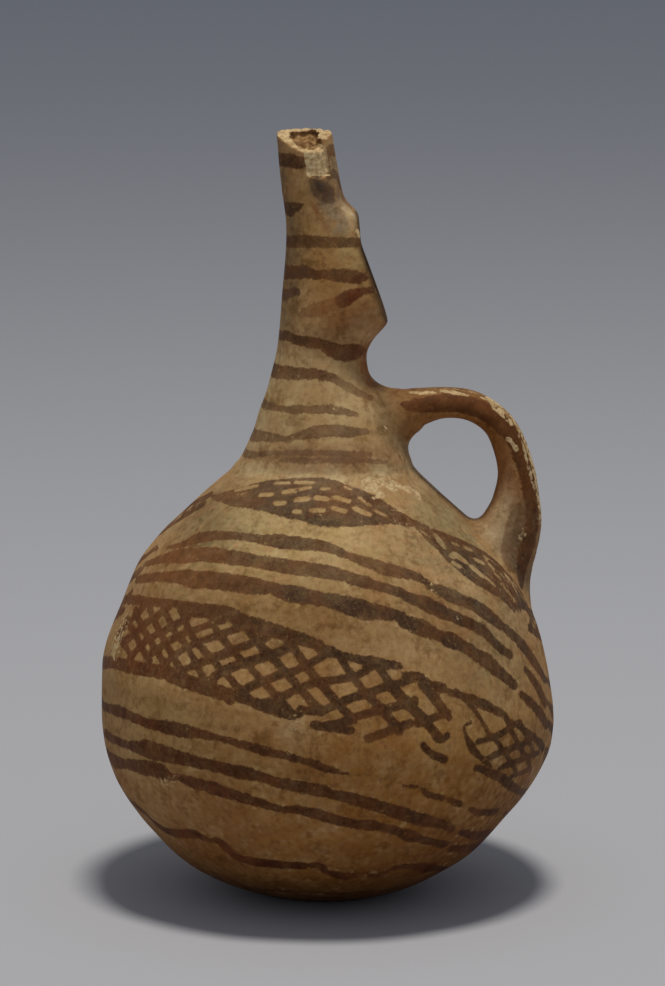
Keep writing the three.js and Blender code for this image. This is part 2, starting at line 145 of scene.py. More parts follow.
# Every stroke of the brush that the photograph shows, and one line of painted shadow at the flake's edge: bearing in
# degrees, height and half width in mm
BRUSH_STROKES = {
    "wide_border_upper": ((185, 77.2, 1.3), (198, 79.4, 1.3), (208, 80.8, 1.3), (223, 82.3, 1.1), (229, 81.7, 2),
        (240, 82.2, 1.8), (245, 80.9, 1.9), (257, 78.7, 1.9), (267, 76.3, 1.5), (270, 74.7, 1.5), (279, 72.4, 1.1),
        (283, 71.4, 1.7), (290, 70.4, 0.9)),
    "wide_border_upper_2": ((291, 67.9, 1), (294, 67.6, 1.2), (298, 65.1, 1.4), (301, 64.1, 1.5)),
    "wide_border_upper_3": ((302, 63.3, 0.9), (309, 60.6, 1.2), (314, 57.9, 1.4), (321, 54.2, 0.9)),
    "wide_border_upper_4": ((323, 52.2, 0.8), (335, 45.1, 1.1), (342, 41.2, 1.2)),
    "wide_border_lower": ((185, 60.9, 1.9), (200, 63.9, 1.6), (209, 64.8, 1.9), (223, 65.8, 1.9), (230, 65.2, 1.9),
        (243, 63.5, 1.9), (248, 62.6, 1.2), (254, 61.4, 1.5), (261, 59.4, 1.5), (264, 59.2, 0.7)),
    "wide_border_lower_2": ((267, 56.9, 1.1), (276, 55.4, 1.1)),
    "wide_border_lower_3": ((310, 42.6, 1), (319, 38.6, 1.4), (326, 34.6, 1.4), (334, 31.3, 1.1), (344, 28.2, 1.3)),
    "stripe_1": ((201, 92.9, 0.5), (208, 94.5, 0.8), (215, 96.8, 1.7), (227, 98.6, 1.2), (241, 99, 1),
        (252, 98.9, 1.9), (269, 97.9, 1.5), (278, 95.7, 1), (292, 92.1, 1.8), (300, 90.7, 1.2), (305, 88.2, 0.8)),
    "stripe_1_b": ((304, 88, 0.9), (310, 85.8, 2), (315, 83.1, 1.3)),
    "stripe_1_c": ((314, 84.5, 0.8), (320, 80.8, 1.9), (329, 74.4, 1.2), (337, 68.2, 1.9), (346, 59, 1.7)),
    "stripe_2": ((192, 87.7, 0.7), (196, 88.6, 1), (206, 91.3, 1.5), (213, 92.4, 2.1), (226, 94.1, 2.1),
        (243, 94.5, 2)),
    "stripe_2_b": ((245, 93.7, 0.9), (247, 94.4, 1.9), (260, 93.5, 1.9), (270, 92.6, 1.8), (281, 90.3, 1.5),
        (293, 87.3, 1.1)),
    "stripe_2_c": ((294, 86.5, 1.1), (302, 83.5, 1.9), (311, 79.3, 1.5), (318, 76.1, 1.4), (325, 70.1, 1.2),
        (328, 68.4, 1.1)),
    "stripe_2_d": ((334, 63.4, 0.8), (338, 59.1, 1.5), (343, 53.2, 1.6)),
    "stripe_3": ((192, 83.7, 0.6), (201, 85.5, 1.3), (208, 86.9, 1.2), (219, 88.3, 1.8), (225, 88.5, 2.5),
        (237, 89.2, 2.5), (251, 88.9, 2)),
    "stripe_3_b": ((254, 88.7, 1.6), (261, 87.7, 2.2), (269, 86.6, 1.6), (274, 85.7, 2), (280, 84.1, 2.4),
        (292, 81.9, 1.1)),
    "stripe_3_c": ((292, 80.5, 1.4), (297, 78.9, 2.1), (303, 76.3, 1.2), (306, 74.9, 2.1), (309, 73.5, 1.4),
        (318, 67.8, 2), (327, 60.9, 1.2)),
    "stripe_3_d": ((329, 58.1, 1), (338, 51.2, 1.5), (343, 47.2, 1.3)),
    "low_1": ((189, 50.2, 1.3), (200, 51.9, 1.3), (208, 52.8, 1.6), (218, 52.4, 1.3), (231, 52.5, 1.9),
        (243, 52.2, 0.9), (251, 50.7, 1.3), (265, 47.6, 1.1), (269, 46, 1), (275, 44.5, 0.4)),
    "low_2": ((193, 43.9, 1.5), (206, 44.7, 1.2), (212, 45.1, 1.3), (221, 45.6, 2.5), (234, 45.2, 1.8),
        (243, 44.6, 1.6), (250, 43.7, 2), (253, 43.2, 1.5), (260, 41.4, 1.6), (269, 40, 1.9)),
    "low_2_b": ((270, 39, 0.9), (275, 38.1, 1.8), (286, 34.1, 1.9), (295, 30.4, 1.9), (304, 27.5, 1.4),
        (308, 25.7, 1.3)),
    "low_2_c": ((312, 24.4, 1), (321, 21.6, 1.6), (336, 18.5, 2.2), (340, 18.4, 2.1)),
    "low_3": ((192, 37.1, 1.8), (196, 37.5, 2.4), (206, 39.1, 1.6), (211, 39.6, 1.7), (220, 40.5, 2.3),
        (224, 40.4, 2.3), (227, 39.3, 1.2)),
    "low_3_b": ((228, 39.9, 1.1), (239, 38.6, 2), (249, 37, 1.7), (258, 34.6, 1.1), (262, 34.7, 1.3),
        (269, 33, 1.7), (277, 30.5, 1.3), (281, 29.9, 1.9), (286, 28.8, 1.3), (295, 25.3, 1.9), (299, 23.8, 1.3),
        (309, 21, 1.5)),
    "low_3_c": ((313, 19.4, 1.3), (322, 17.3, 1.8), (339, 14.9, 2.3)),
    "scrap_1": ((289, 40.5, 0.5), (294, 39.3, 0.6), (296, 37.3, 0.9), (301, 35.5, 0.9)),
    "scrap_2": ((303, 34.8, 0.8), (307, 33, 1)),
    "scrap_3": ((311, 31.2, 0.7), (315, 29.5, 1.1), (325, 27.4, 1.2)),
    "scrap_4": ((333, 24.9, 1), (342, 23.2, 1.2)),
    "wave_1": ((200, 25.7, 1.7), (204, 25, 1.7), (206, 24.3, 1.7), (208, 22.5, 1.7), (215, 21.1, 1.7),
        (228, 23, 1.7), (231, 22.9, 1.7), (234, 22.4, 1.2)),
    "wave_2": ((236, 22.5, 0.9), (238, 22.2, 1.8), (242, 18.8, 1.7), (248, 17.7, 2.2), (252, 17.9, 2.1),
        (264, 17.9, 1.6)),
    "wave_3": ((264, 18.1, 0.9), (268, 18.1, 1.4), (270, 17.4, 1), (271, 16.1, 1), (277, 14.4, 1.7),
        (280, 14.4, 1.5)),
    "wave_4": ((280, 15.1, 0.5), (285, 14.8, 0.5)),
    "wave_5": ((286, 14.2, 1.1), (290, 13.7, 1.1), (293, 15.5, 1), (300, 15.6, 1.4), (310, 13.3, 2.2),
        (314, 12.8, 1.4), (329, 9.3, 1.4), (332, 9.9, 0)),
    "foot_ring": ((210, 8.8, 0.9), (213, 7.5, 0.9), (224, 7.8, 0.9), (232, 7.6, 0.9), (239, 6.7, 0.9),
        (261, 8.1, 0.9), (277, 7.7, 0.9), (296, 7.1, 0.9), (313, 6.8, 0.9), (329, 6.8, 0.9)),
    "neck_1": ((194, 190.9, 1.8), (227, 191.1, 1.8), (250, 190.8, 1.6), (265, 190.9, 1.3)),
    "neck_1_right": ((322, 193.4, 1.2), (332, 193.6, 1.5), (350, 193.2, 1.5)),
    "neck_1_right_low": ((312, 187.2, 1), (324, 187.7, 1.2), (340, 186.6, 1.1), (346, 184.2, 0.8)),
    # not a brush stroke: a thin line of painted shadow along the flake's right edge, laid down as paint
    "flake_edge_low": ((318.6, 193.6, 0.3), (318.4, 190.4, 0.32), (318.2, 187.6, 0.3)),
    "smudge_low": ((276, 186.4, 1.1), (284, 184.9, 2), (292, 183.8, 2.6), (300, 183, 2.4), (309, 182, 1.5),
        (318, 184, 0.7)),
    "neck_2": ((188, 178.5, 1.6), (209, 178.6, 1.7), (246, 180.1, 0.3)),
    "neck_3": ((192, 170.1, 1.7), (209, 170.5, 1.7), (239, 170.8, 1.5), (263, 170.9, 1.5), (290, 170.7, 1.4),
        (308, 170.5, 1.2)),
    "neck_4": ((192, 162.4, 1.8), (208, 162.7, 1.8), (222, 162.9, 1.7), (238, 162.1, 0.6)),
    "neck_4_b": ((237, 162.7, 0.7), (266, 162.4, 1.8), (299, 162, 1.3)),
    "neck_5": ((194, 156.5, 1.5), (208, 157.9, 1.1), (216, 157.6, 0.7)),
    "neck_6": ((224, 152.4, 1), (240, 153.8, 1.8), (262, 155.4, 1.7)),
    "neck_6_b": ((259, 155.2, 1.2), (270, 156.2, 1.9), (282, 157.4, 1.7), (294, 158.4, 1.1), (308, 158.8, 0.8)),
    "neck_7": ((199, 146.1, 1.4), (209, 146.5, 1.4), (228, 145.9, 1.4), (242, 145.6, 1.4), (264, 144.9, 1.5),
        (278, 143.7, 1.9), (296, 142.6, 2.3), (315, 142.4, 2.3), (334, 142.3, 0.6)),
    "neck_8": ((208, 137.1, 1.9), (228, 137.5, 1.8), (245, 137.5, 1.5), (261, 137.6, 1.4), (275, 137.1, 1.4),
        (284, 136.6, 1.1), (292, 135.6, 0.9)),
    "neck_8_b": ((283, 136.6, 1), (300, 134.4, 1.3), (312, 132.6, 1.2), (326, 130.6, 0.9)),
    "neck_9": ((201, 128.3, 1.2), (224, 128.4, 0.9), (247, 128.7, 1.2), (267, 128.8, 1.2), (278, 128.9, 1.3),
        (302, 127.3, 0.7)),
    "neck_10": ((194, 120.1, 1.8), (214, 121, 1.4), (239, 121.3, 0.7)),
    "neck_10_b": ((241, 121.9, 0.8), (259, 123.3, 1.7), (275, 123.7, 1.7), (296, 123.2, 1.2), (308, 122.9, 0.7)),
    "neck_11": ((197, 115.4, 1.1), (223, 117.3, 0.8), (237, 118, 0.7), (250, 118.3, 0.9), (273, 118.4, 0.8),
        (288, 118, 0.8), (304, 117.4, 0.7)),
    "neck_12": ((234, 116, 0.5), (250, 116.4, 0.9), (273, 116.6, 0.9), (295, 116.1, 0.8), (316, 115, 0.7)),
}
# The same for the hatching of the wide band, the shoulder's band and the band at the handle's foot
BELLY_HATCH = (
    ((196, 70, 1), (200, 73.4, 1.2), (207, 79.4, 1.2)),
    ((202, 69.5, 1.2), (208, 73.2, 1.2), (212, 76.6, 1.1), (219, 81.2, 1)),
    ((209, 67.4, 1.2), (214, 72.1, 1), (228, 79.9, 0.9)),
    ((216, 68.5, 1), (225, 74.6, 1), (232, 77.5, 0.8), (240, 80.4, 0.9)),
    ((222, 66.6, 0.9), (229, 72.1, 0.8), (239, 76.6, 0.9), (248, 79.9, 0.9)),
    ((228, 65.4, 0.9), (230, 67.1, 0.8), (241, 72, 1.1), (254, 77.4, 0.8)),
    ((238, 64.2, 1.2), (242, 67.8, 1.2), (247, 70.4, 1.2), (257, 73.8, 1.1), (262, 76.8, 1)),
    ((246, 61.9, 1.2), (250, 64.8, 1), (258, 68.6, 1), (264, 70.5, 0.9), (272, 74.8, 0.9)),
    ((254, 61.5, 1.1), (259, 63.4, 0.9), (267, 67, 1), (277, 68.3, 0.9), (284, 71.1, 0.7)),
    ((264, 60.5, 1), (269, 60.3, 0.9), (276, 63.1, 1), (286, 65.6, 1), (293, 66.8, 0.7)),
    ((268, 56.3, 0.9), (274, 57.6, 0.9), (281, 59.6, 1), (293, 61.7, 1.1)), ((280, 53.4, 1), (291, 56.4, 1)),
    ((293, 56.2, 1), (302, 57.9, 0.8)), ((294, 50.6, 0.8), (296, 48.4, 0.9), (300, 46.2, 1)),
    ((297, 52.3, 0.6), (299, 51.4, 0.8), (301, 52.3, 0.8)),
    ((310, 49.2, 0.6), (318, 50, 0.9), (324, 51.4, 0.8), (327, 51.4, 0.6)),
    ((312.5, 44.2, 0.6), (319, 45.2, 0.9), (328, 45.5, 0.8), (332, 45.3, 0.6)),
    ((318.5, 41, 0.6), (323.5, 41.1, 0.9), (334, 41.2, 0.7), (339, 40.6, 0.6)),
    ((325, 37.2, 0.7), (330, 37.1, 0.7), (336, 36.9, 0.6)), ((196, 70.6, 1), (205, 68.6, 0.8), (210, 66.6, 0.8)),
    ((199, 74.6, 0.9), (207, 72.6, 1), (218, 67.5, 0.9)),
    ((202, 77.7, 0.9), (210, 74.7, 1), (217, 71.5, 0.9), (226, 66.7, 0.9)),
    ((210, 79.5, 1), (221, 73.3, 0.9), (232, 65.9, 1)),
    ((216, 81, 0.9), (225, 75.4, 0.9), (230, 73.1, 0.8), (240, 64.2, 0.9)),
    ((223, 82, 1), (232, 74.9, 0.8), (236, 72.9, 0.9), (243, 68.5, 0.8), (252, 61.9, 0.9)),
    ((236, 79.6, 0.8), (244, 74.1, 0.9), (251, 69.4, 0.8), (257, 64.5, 0.9), (262, 59.4, 1)),
    ((247, 79.6, 1), (253, 74.8, 1), (261, 68.5, 0.9), (269, 60.1, 1)),
    ((259, 77.9, 1), (268, 67.9, 1), (272, 63.7, 1), (277, 58, 0.9)),
    ((274, 72.9, 0.7), (281, 63.7, 0.9), (284, 60.7, 1), (288, 54.7, 1.1)),
    ((284, 70.7, 0.9), (287, 66.3, 1), (289, 63.5, 1.3), (294, 57.9, 1.3), (299, 51.6, 0.9)),
    ((296, 65.6, 1.6), (302, 56.8, 0.9)), ((305, 62.6, 0.9), (308, 60.2, 0.8), (311.7, 54.9, 0.6), (314, 50.6, 0.5)),
    ((314, 50.7, 0.5), (317, 48.1, 0.6), (319.5, 45.1, 0.7), (323, 41.7, 0.7), (326.6, 38.5, 0.7)),
    ((321, 53.5, 1), (323, 49.3, 0.8), (327.5, 44, 0.7), (331, 41.1, 0.7), (337, 35.8, 0.6)),
    ((326.5, 51.2, 0.8), (330.4, 46.2, 0.7), (336, 40.2, 0.7)),
    ((308.5, 54.6, 0.4), (306.3, 53.7, 0.4), (306.7, 51.1, 0.6), (308.2, 48.3, 1.1), (310, 46.2, 0.9), (315, 42, 0.5)),
)
# Bands painted full, with light cells left open in them: bearing and height of the upper and the lower edge
FULL_BANDS = (
    (
        ((198, 105.5), (207, 107), (220, 109.9), (233, 111.6), (249, 112.7), (266, 112.8), (280, 111.7),
         (292, 109.7), (299, 108), (305, 105.3), (309, 103.3), (320, 100.4)),
        ((198, 104.5), (219, 104.9), (233, 104.9), (243, 104.8), (250, 103.9), (257, 103.3), (262, 102.7),
         (268, 101.8), (274, 101.7), (283, 101.7), (292, 101.7), (305, 101), (318, 99.6)),
    ),
    (
        ((312, 101.6), (325, 99), (334, 96.3), (341, 92.9), (344, 89), (345, 85.4), (349, 80.5), (352, 76.1)),
        ((310, 100.2), (315, 95.4), (317, 91.3), (320, 87.7), (322, 86.2), (326, 84.2), (331, 81.2), (335, 78.2)),
    ),
)
LIGHT_CELLS = (
    ((237, 110.8, 0.4), (246, 111.3, 0.4)), ((250, 111.5, 0.5), (263, 111.5, 0.4)),
    ((214.1, 107.9, 0.6), (225.9, 109.7, 0.6)), ((246.1, 109.3, 0.7), (250.9, 109.7, 0.7)),
    ((255.1, 110, 0.5), (260.9, 110.4, 0.5)), ((268.1, 110.1, 0.4), (272.9, 110.1, 0.4)),
    ((282.6, 110.2, 0.5), (285.4, 109.7, 0.4)), ((220.6, 107.4, 0.4), (222.4, 107.8, 0.4)),
    ((233.1, 108, 0.7), (238.9, 108.5, 0.7)), ((255.1, 107.8, 0.8), (260.9, 108, 0.8)),
    ((266.1, 108.2, 0.8), (271.9, 107.8, 0.7)), ((276.1, 108.1, 0.6), (282.9, 107, 0.7)),
    ((289.1, 107.6, 0.5), (292.9, 105.7, 0.5)), ((244.1, 106.8, 0.7), (248.9, 107, 0.7)),
    ((255.6, 105.3, 0.6), (258.4, 105.3, 0.6)), ((264.1, 105.6, 0.7), (269.9, 105.4, 0.7)),
    ((275.1, 105.7, 0.7), (279.9, 104.9, 0.7)), ((285.1, 105.3, 0.7), (290.9, 103.8, 0.7)),
    ((294.6, 104.5, 0.5), (298.4, 103.3, 0.5)), ((320, 98.3, 0.8), (320, 97.1, 1), (320, 95.6, 0.6)),
    ((326, 96, 0.5), (328, 95.3, 0.5)), ((331, 94.4, 0.6), (333, 93.7, 0.6)),
    ((320, 93.5, 0.6), (323, 93.5, 1.1), (325, 91.7, 0.8)), ((319, 92.2, 0.6), (321, 91, 0.6)),
    ((326, 90.2, 0.9), (328, 87.8, 0.7)), ((331, 91.5, 0.7), (333, 90.4, 0.7)), ((337, 91.2, 0.4), (337, 90.6, 0.4)),
    ((336, 89.6, 0.6), (336, 88.2, 0.5)), ((329, 87.3, 0.5), (331, 85, 0.4)), ((335, 87.3, 0.4), (336, 85.9, 0.4)),
    ((335, 84.9, 0.4), (339, 80, 0.4)), ((341, 85.9, 0.5), (343, 80.8, 0.4)), ((344, 83.4, 0.4), (348, 78.2, 0.4)),
)
# Strokes on the handle, each with its share of paint: per cent along it, turn about it in degrees, half width in mm
HANDLE_STROKES = (
    (0.55, ((70, 256, 0.8), (74, 262, 1.9), (79, 264, 2.7), (84, 262, 2.9), (89, 256, 2.2), (93, 250, 1))),
    (1.0, ((14, 240, 0.5), (18, 246, 1.4), (24, 254, 2.2), (32, 258, 2.6), (40, 256, 2.9), (47, 248, 2.9),
           (53, 240, 2.8), (60, 234, 2.5), (68, 230, 2.5), (76, 228, 3), (83, 230, 2.8), (90, 232, 1.8),
           (94, 232, 1))),
)
# Flakes of pale clay on the handle, in the same way
HANDLE_FLAKES = (
    ((21, 206, 0.4), (26, 212, 0.6), (32, 216, 0.6), (36, 220, 0.3)), ((40, 210, 0.5), (44, 216, 1), (49, 221, 0.6)),
    ((53, 220, 0.3), (58, 222, 0.4), (66, 218, 0.3)), ((80, 246, 0.7), (81, 251, 0.6)),
    ((52, 262, 0.25), (56, 250, 0.3)),
)
# Strokes that a dry brush left thin, with the share of paint in them
FAINT_STROKES = {
    "neck_11": 0.7, "neck_12": 0.6, "neck_8_b": 0.72, "stripe_1_b": 0.85, "neck_6": 0.5, "foot_ring": 0.8,
    "smudge_low": 0.55, "neck_1_right": 0.7, "neck_1_right_low": 0.7, "neck_9": 0.85, "neck_10": 0.85,
    "neck_10_b": 0.85, "neck_3": 0.88,
}
# The far side, which the photograph hides: stripes as waves round the body, each with its middle height, its swing,
# the bearing of its top and how low it may go
BACK_STRIPES = (
    (52.4, 29.9, 230, 6), (41.2, 24.6, 222, 6), (69.6, 29.4, 235, 6), (63, 31.5, 235, 6), (57.2, 32, 237, 6),
    (34.2, 18.4, 215, 6), (27, 18.6, 221, 12), (23.3, 17.2, 220, 8),
)
# The shoulder's band carried on behind the handle: bearing and height of its two edges; and the wave above the foot
BACK_BAND_TOP = ((344, 78), (360, 72), (420, 58), (450, 64), (490, 80), (530, 98), (555, 105))
BACK_BAND_LOW = ((344, 72), (360, 66), (420, 48), (450, 52), (490, 68), (530, 90), (558, 103))
BACK_WAVE = ((345, 8.5), (380, 9), (420, 12), (460, 17), (500, 22), (530, 26), (560, 25.7))
# The far side's bearings, the shortest stroke there, and the least and the most that one load of the brush paints
BACK_FROM, BACK_TO, BACK_SHORTEST = 345, 553, 7
BRUSH_LOADS = (38, 62)
# How far the far side's lattice is from the jug's axis, and the least and the greatest slant of its lines in degrees
LATTICE_REACH = 54
LATTICE_SLANTS = (29, 40)
# Degrees between that lattice's rising lines and between its falling ones, and their half width: wide band, shoulder
WIDE_LATTICE, SHOULDER_LATTICE = (8.5, 10, 1.0), (8, 9.5, 0.9)
# How much its lines bend, how much their width varies, and the least and the most of a gap that is left
LATTICE_BEND, LATTICE_VARY, LATTICE_GAPS = 0.7, 0.15, (0.85, 1.15)
# Stripes on the far side: points in a stroke, half width, how much height and half width vary, and the ends' taper
BACK_POINTS, BACK_HALF, BACK_SWAY, BACK_VARY, BACK_TAPER = 7, 1.45, 0.4, 0.35, 0.7
# How far the next stroke starts before or after the last one's end, and the half width of the band's edges
BACK_LAP, BACK_EDGE_HALF = 1.5, 1.4
# Chips, spalls and flaked places: bearing, height and radius in mm
BARE_SPOTS = (
    (326, 177.5, 1.1), (321, 173.5, 0.9), (297, 110, 2), (302, 109.6, 2.1), (307, 110.6, 1.6), (312, 109.4, 1.7),
    (318, 109.6, 1.7), (324, 108.4, 1.9), (329, 107, 1.5), (300, 107.6, 1.3), (326, 123.2, 0.7), (310, 80.2, 0.8),
    (60, 40, 1.6), (118, 86, 1.3), (150, 128, 1.1), (35, 62, 1.0),
)
# The least and the greatest half width of a stroke in mm, and how much wider stripes and hatching are than their rows
HALF_WIDTHS = (0.3, 2.6)
STRIPE_SPREAD, HATCH_SPREAD = 0.25, 0.18
# How many places a stroke on the handle is laid out in
HANDLE_STEPS = 233
# A neck band that starts before the first bearing is carried on to the second, to meet its copy on the far side
NECK_START, NECK_JOIN = 212, 179
# A stroke's distances are kept to this many mm on each side of its edge
EDGE_REACH = 3.0
# How far from a stroke points are still measured: its half width and what the shaders use past its edge
BRUSH_REACH = 4.2
# How much calmer the paint's edges are beside light cells and in the hatching
CELL_CALM, HATCH_CALM = 0.62, 0.42
# How far past a light cell's edge and a hatch line's the calm goes, in mm
CELL_REACH, HATCH_REACH = 2, 1.5
# The wall's inner side starts this far inside the outline, comes in over this much, and is clear of the handle
INNER_FROM, INNER_FADE, INNER_CLEAR = 1.2, 0.8, 0.8
# Over how many mm the handle's clay gives way to the pot's
HANDLE_FADE = 2
# How ragged the spalls are, how much wider the handle's flakes are than their rows, and how deep they may go
SPALL_RAGGED, FLAKE_SPREAD, FLAKE_CAP = 0.3, 1.25, 0.3
# The broken end's rough faces: their lowest height, and the least that they face up or down
ROUGH_LOW, ROUGH_FACING = 192, 0.45
# The cut lip, darkened with painted shade: its lowest and highest, and how far inside the outline it may be
LIP_LOW, LIP_HIGH, LIP_DEPTH = 149, 178, 4.5
# The share of painted shade on it and how far from the cut it goes
LIP_SHARE, LIP_WIDTH = 0.85, 0.9
# Colours of the clays, the paint, the soil, and the painted shade along the cut lip
SHOULDER_CLAY = "#D6B182"
HANDLE_CLAY = "#A87A48"
WORN_CLAY = "#DDBE8A"
INNER_CLAY = "#7A5A3C"
SOIL = "#9A7A52"
RAW_CLAY = "#E8D0A0"
INK = "#543A2A"
HANDLE_INK = "#5E381C"
LIP_PAINTED_SHADE = "#463524"
# Soft patches of colour in the slip, some of them painted shade and painted highlight: bearing, height, spread in
# degrees, spread in mm, colour, strength
GROUND_PATCHES = (
    # the patch at 10 mm darkens the lower body towards the foot: partly the clay's own colour, partly painted shade
    (270, 52, 400, 24, "#CDA56B", 0.9), (270, 10, 400, 20, "#7C4E16", 0.9), (255, 34, 26, 12, "#AE7C42", 0.6),
    (205, 56, 22, 20, "#C8A46C", 0.7), (300, 40, 22, 14, "#C48E42", 0.5), (262, 86, 34, 7, "#A2804C", 0.75),
    # the patches at 222 and 203 degrees darken the upper left of the shoulder with painted shade
    (255, 100, 30, 6, "#E8D498", 0.7), (222, 100, 14, 7, "#958B64", 0.65), (203, 105, 12, 6, "#9A9070", 0.7),
    (322, 72, 16, 10, "#B39F76", 0.6), (325, 92, 16, 8, "#C6AF82", 0.65), (262, 55.5, 2.4, 2.4, "#DCBE8E", 0.75),
    # the grey patch at 338 degrees and 101 mm, on the shoulder under the handle, is partly the slip's grey-green tone
    # and partly painted shade
    (351, 96.5, 5, 2, "#B4703A", 0.6), (338, 101, 20, 6, "#A59C74", 0.8), (247, 107, 34, 4, "#C2A874", 0.6),
    # the patch at 200 degrees darkens the left side of the neck with painted shade
    (270, 168, 400, 20, "#C09A5F", 0.85), (200, 165, 16, 26, "#7E6C54", 0.6), (290, 170, 14, 12, "#CFC08C", 0.5),
    # the patch at 117 mm is painted shade just above the neck's foot
    (281, 150, 26, 6, "#9C5820", 0.75), (270, 129, 400, 12, "#E0C894", 0.85), (270, 117, 42, 2, "#97785F", 0.6),
    # the patch at 112.8 mm is a painted highlight along the neck's foot; the one at 340 degrees and 122 mm, beside the
    # handle's upper root, is partly grey dirt and partly painted shade
    (270, 112.8, 60, 1.1, "#F0DEAE", 0.75), (340, 122, 14, 8, "#A08B68", 0.75), (350, 139, 22, 8, "#A8652A", 0.85),
    # the patch at 1 mm darkens the foot: partly the clay's own colour, partly painted shade
    (270, 1, 400, 7, "#5A3A18", 0.7), (322, 22, 24, 14, "#7C5228", 0.6), (60, 46, 40, 22, "#B98A50", 0.5),
    (110, 84, 34, 16, "#D6B987", 0.5), (150, 26, 30, 14, "#AC7A42", 0.5), (290, 184, 13, 2.8, "#54433B", 0.9),
    # the patch at 346 degrees is painted shade on the spout's right side
    (306, 183, 14, 2.4, "#6E5C4E", 0.7), (346, 183, 12, 4, "#756A60", 0.75), (334, 189, 14, 3, "#B8A88A", 0.7),
    (298, 177.6, 17, 3.2, "#A2927C", 0.8), (277, 174.6, 9, 1.6, "#A08F78", 0.5), (264, 179, 4, 1.6, "#96552F", 0.7),
    (265, 175.4, 4, 1.6, "#A56E42", 0.6), (328, 178, 7, 1.2, "#E8DAB4", 0.85), (319, 174, 5, 2, "#DFC99C", 0.7),
)
INK_PATCHES = (
    (205, 70, 26, 14, "#7C4220", 0.85), (215, 90, 30, 8, "#966339", 0.8), (262, 84, 24, 12, "#483224", 0.75),
    (300, 72, 30, 18, "#3A2A25", 0.8), (284, 94, 15, 3, "#8A6440", 0.75), (252, 107, 34, 5, "#675546", 0.85),
    (262, 112, 18, 1.1, "#7C634C", 0.7), (214, 106, 10, 4, "#866A4C", 0.7), (264, 103.8, 15, 1.8, "#38281F", 0.85),
    (330, 91, 14, 10, "#4A3C36", 0.75), (338, 84, 12, 10, "#443934", 0.8), (262, 34, 44, 16, "#50210B", 0.85),
    (212, 42, 26, 14, "#581E06", 0.85), (322, 46, 14, 16, "#2E190C", 0.7), (290, 26, 40, 16, "#3C1E08", 0.8),
    (240, 18, 26, 10, "#4C1806", 0.8), (270, 12, 60, 7, "#441606", 0.8), (262, 66, 20, 9, "#3A2418", 0.75),
    (244, 168.5, 30, 3, "#523418", 0.7), (270, 160, 400, 24, "#5E4029", 0.9), (264, 137, 70, 8, "#7E583C", 0.85),
    (250, 145, 40, 3.4, "#684022", 0.6), (314, 142, 22, 5, "#704028", 0.7), (264, 122, 60, 5, "#846850", 0.8),
    (250, 154.5, 13, 2.2, "#8C4010", 0.9), (284, 158, 12, 2.4, "#6E2C18", 0.85), (292, 184, 16, 4, "#4A3B38", 0.95),
    (205, 156, 14, 3, "#5A4C44", 0.7), (60, 60, 50, 24, "#64432C", 0.5), (140, 40, 40, 20, "#6E4020", 0.5),
    (258, 178.8, 10, 1.6, "#8F4A2A", 0.6),
)
# Patches of colour on the handle, two of them partly painted light and shade: per cent along it, turn, spread of each,
# colour, strength
HANDLE_PATCHES = (
    # the grey patch at 4 per cent, by the neck, is partly grey dirt and partly painted shade
    (4, 250, 5, 60, "#A08C66", 0.8), (12, 235, 5, 35, "#92734A", 0.6), (22, 300, 10, 30, "#A9763F", 0.6),
    (32, 184, 16, 26, "#5E4024", 0.8), (58, 184, 12, 20, "#8A6238", 0.6), (62, 310, 12, 35, "#B5743A", 0.7),
    # the pale patch at 77 per cent and 303 degrees is painted light: it brightens the shaded inner side of the handle's
    # lower root
    (76, 275, 5, 40, "#C9AC7C", 0.7), (80, 255, 6, 22, "#7A6656", 0.75), (77, 303, 9, 25, "#E8D6B0", 0.9),
    (90, 240, 4, 40, "#7A6654", 0.8), (92, 305, 7, 44, "#CEC09C", 0.9),
)
# How worn the handle's outer side is: per cent along it and share; the turn that it starts at, and over how much
HANDLE_WEAR = ((15, 0.1), (28, 0.6), (42, 0.8), (60, 1), (74, 0.9), (84, 0.4))
WEAR_TURN, WEAR_FADE = 232, 30
# One more worn place on it: per cent along it, turn, spread of each, strength
WORN_PATCH = (77, 246, 2.2, 11, 0.8)
# Places where the paint is rubbed away in crumbs: bearing, height, spread in degrees, spread in mm, strength
RUBBED_PATCHES = (
    (197, 70, 6, 7, 0.9), (190, 60, 5, 4, 0.5), (236, 93, 10, 2, 0.4), (306, 88, 5, 2.5, 0.7), (283, 91, 4, 1.5, 0.6),
    (262, 57, 3, 2, 0.3), (226, 38, 6, 2, 0.5), (300, 62, 5, 3, 0.5), (246, 108, 26, 4, 0.2), (324, 93, 8, 5, 0.1),
    (276, 186, 6, 3, 0.5), (250, 20, 14, 4, 0.15), (305, 16, 10, 4, 0.15), (120, 60, 14, 8, 0.6),
    (45, 30, 10, 6, 0.5),
)
# The camera: focal length, width and shift of its picture in pixels, its sensor in mm, and where it looks
FOCAL_PIXELS = 4644
PICTURE_WIDE = 665
PICTURE_SHIFT = (5, 36)
SENSOR = 36
LOOKED_AT = (0, 0, 0.095)
# The floor's half width, and the lamp's place and light
FLOOR_REACH = 9.0
LAMP_PLACE = (0.07, -0.2, 1.6)
LAMP_LIGHT = "#FFF6EA"


def read_rows(rows, at):
    """A table of two columns, read between its rows."""
    return np.interp(at, *np.array(rows, float).T)


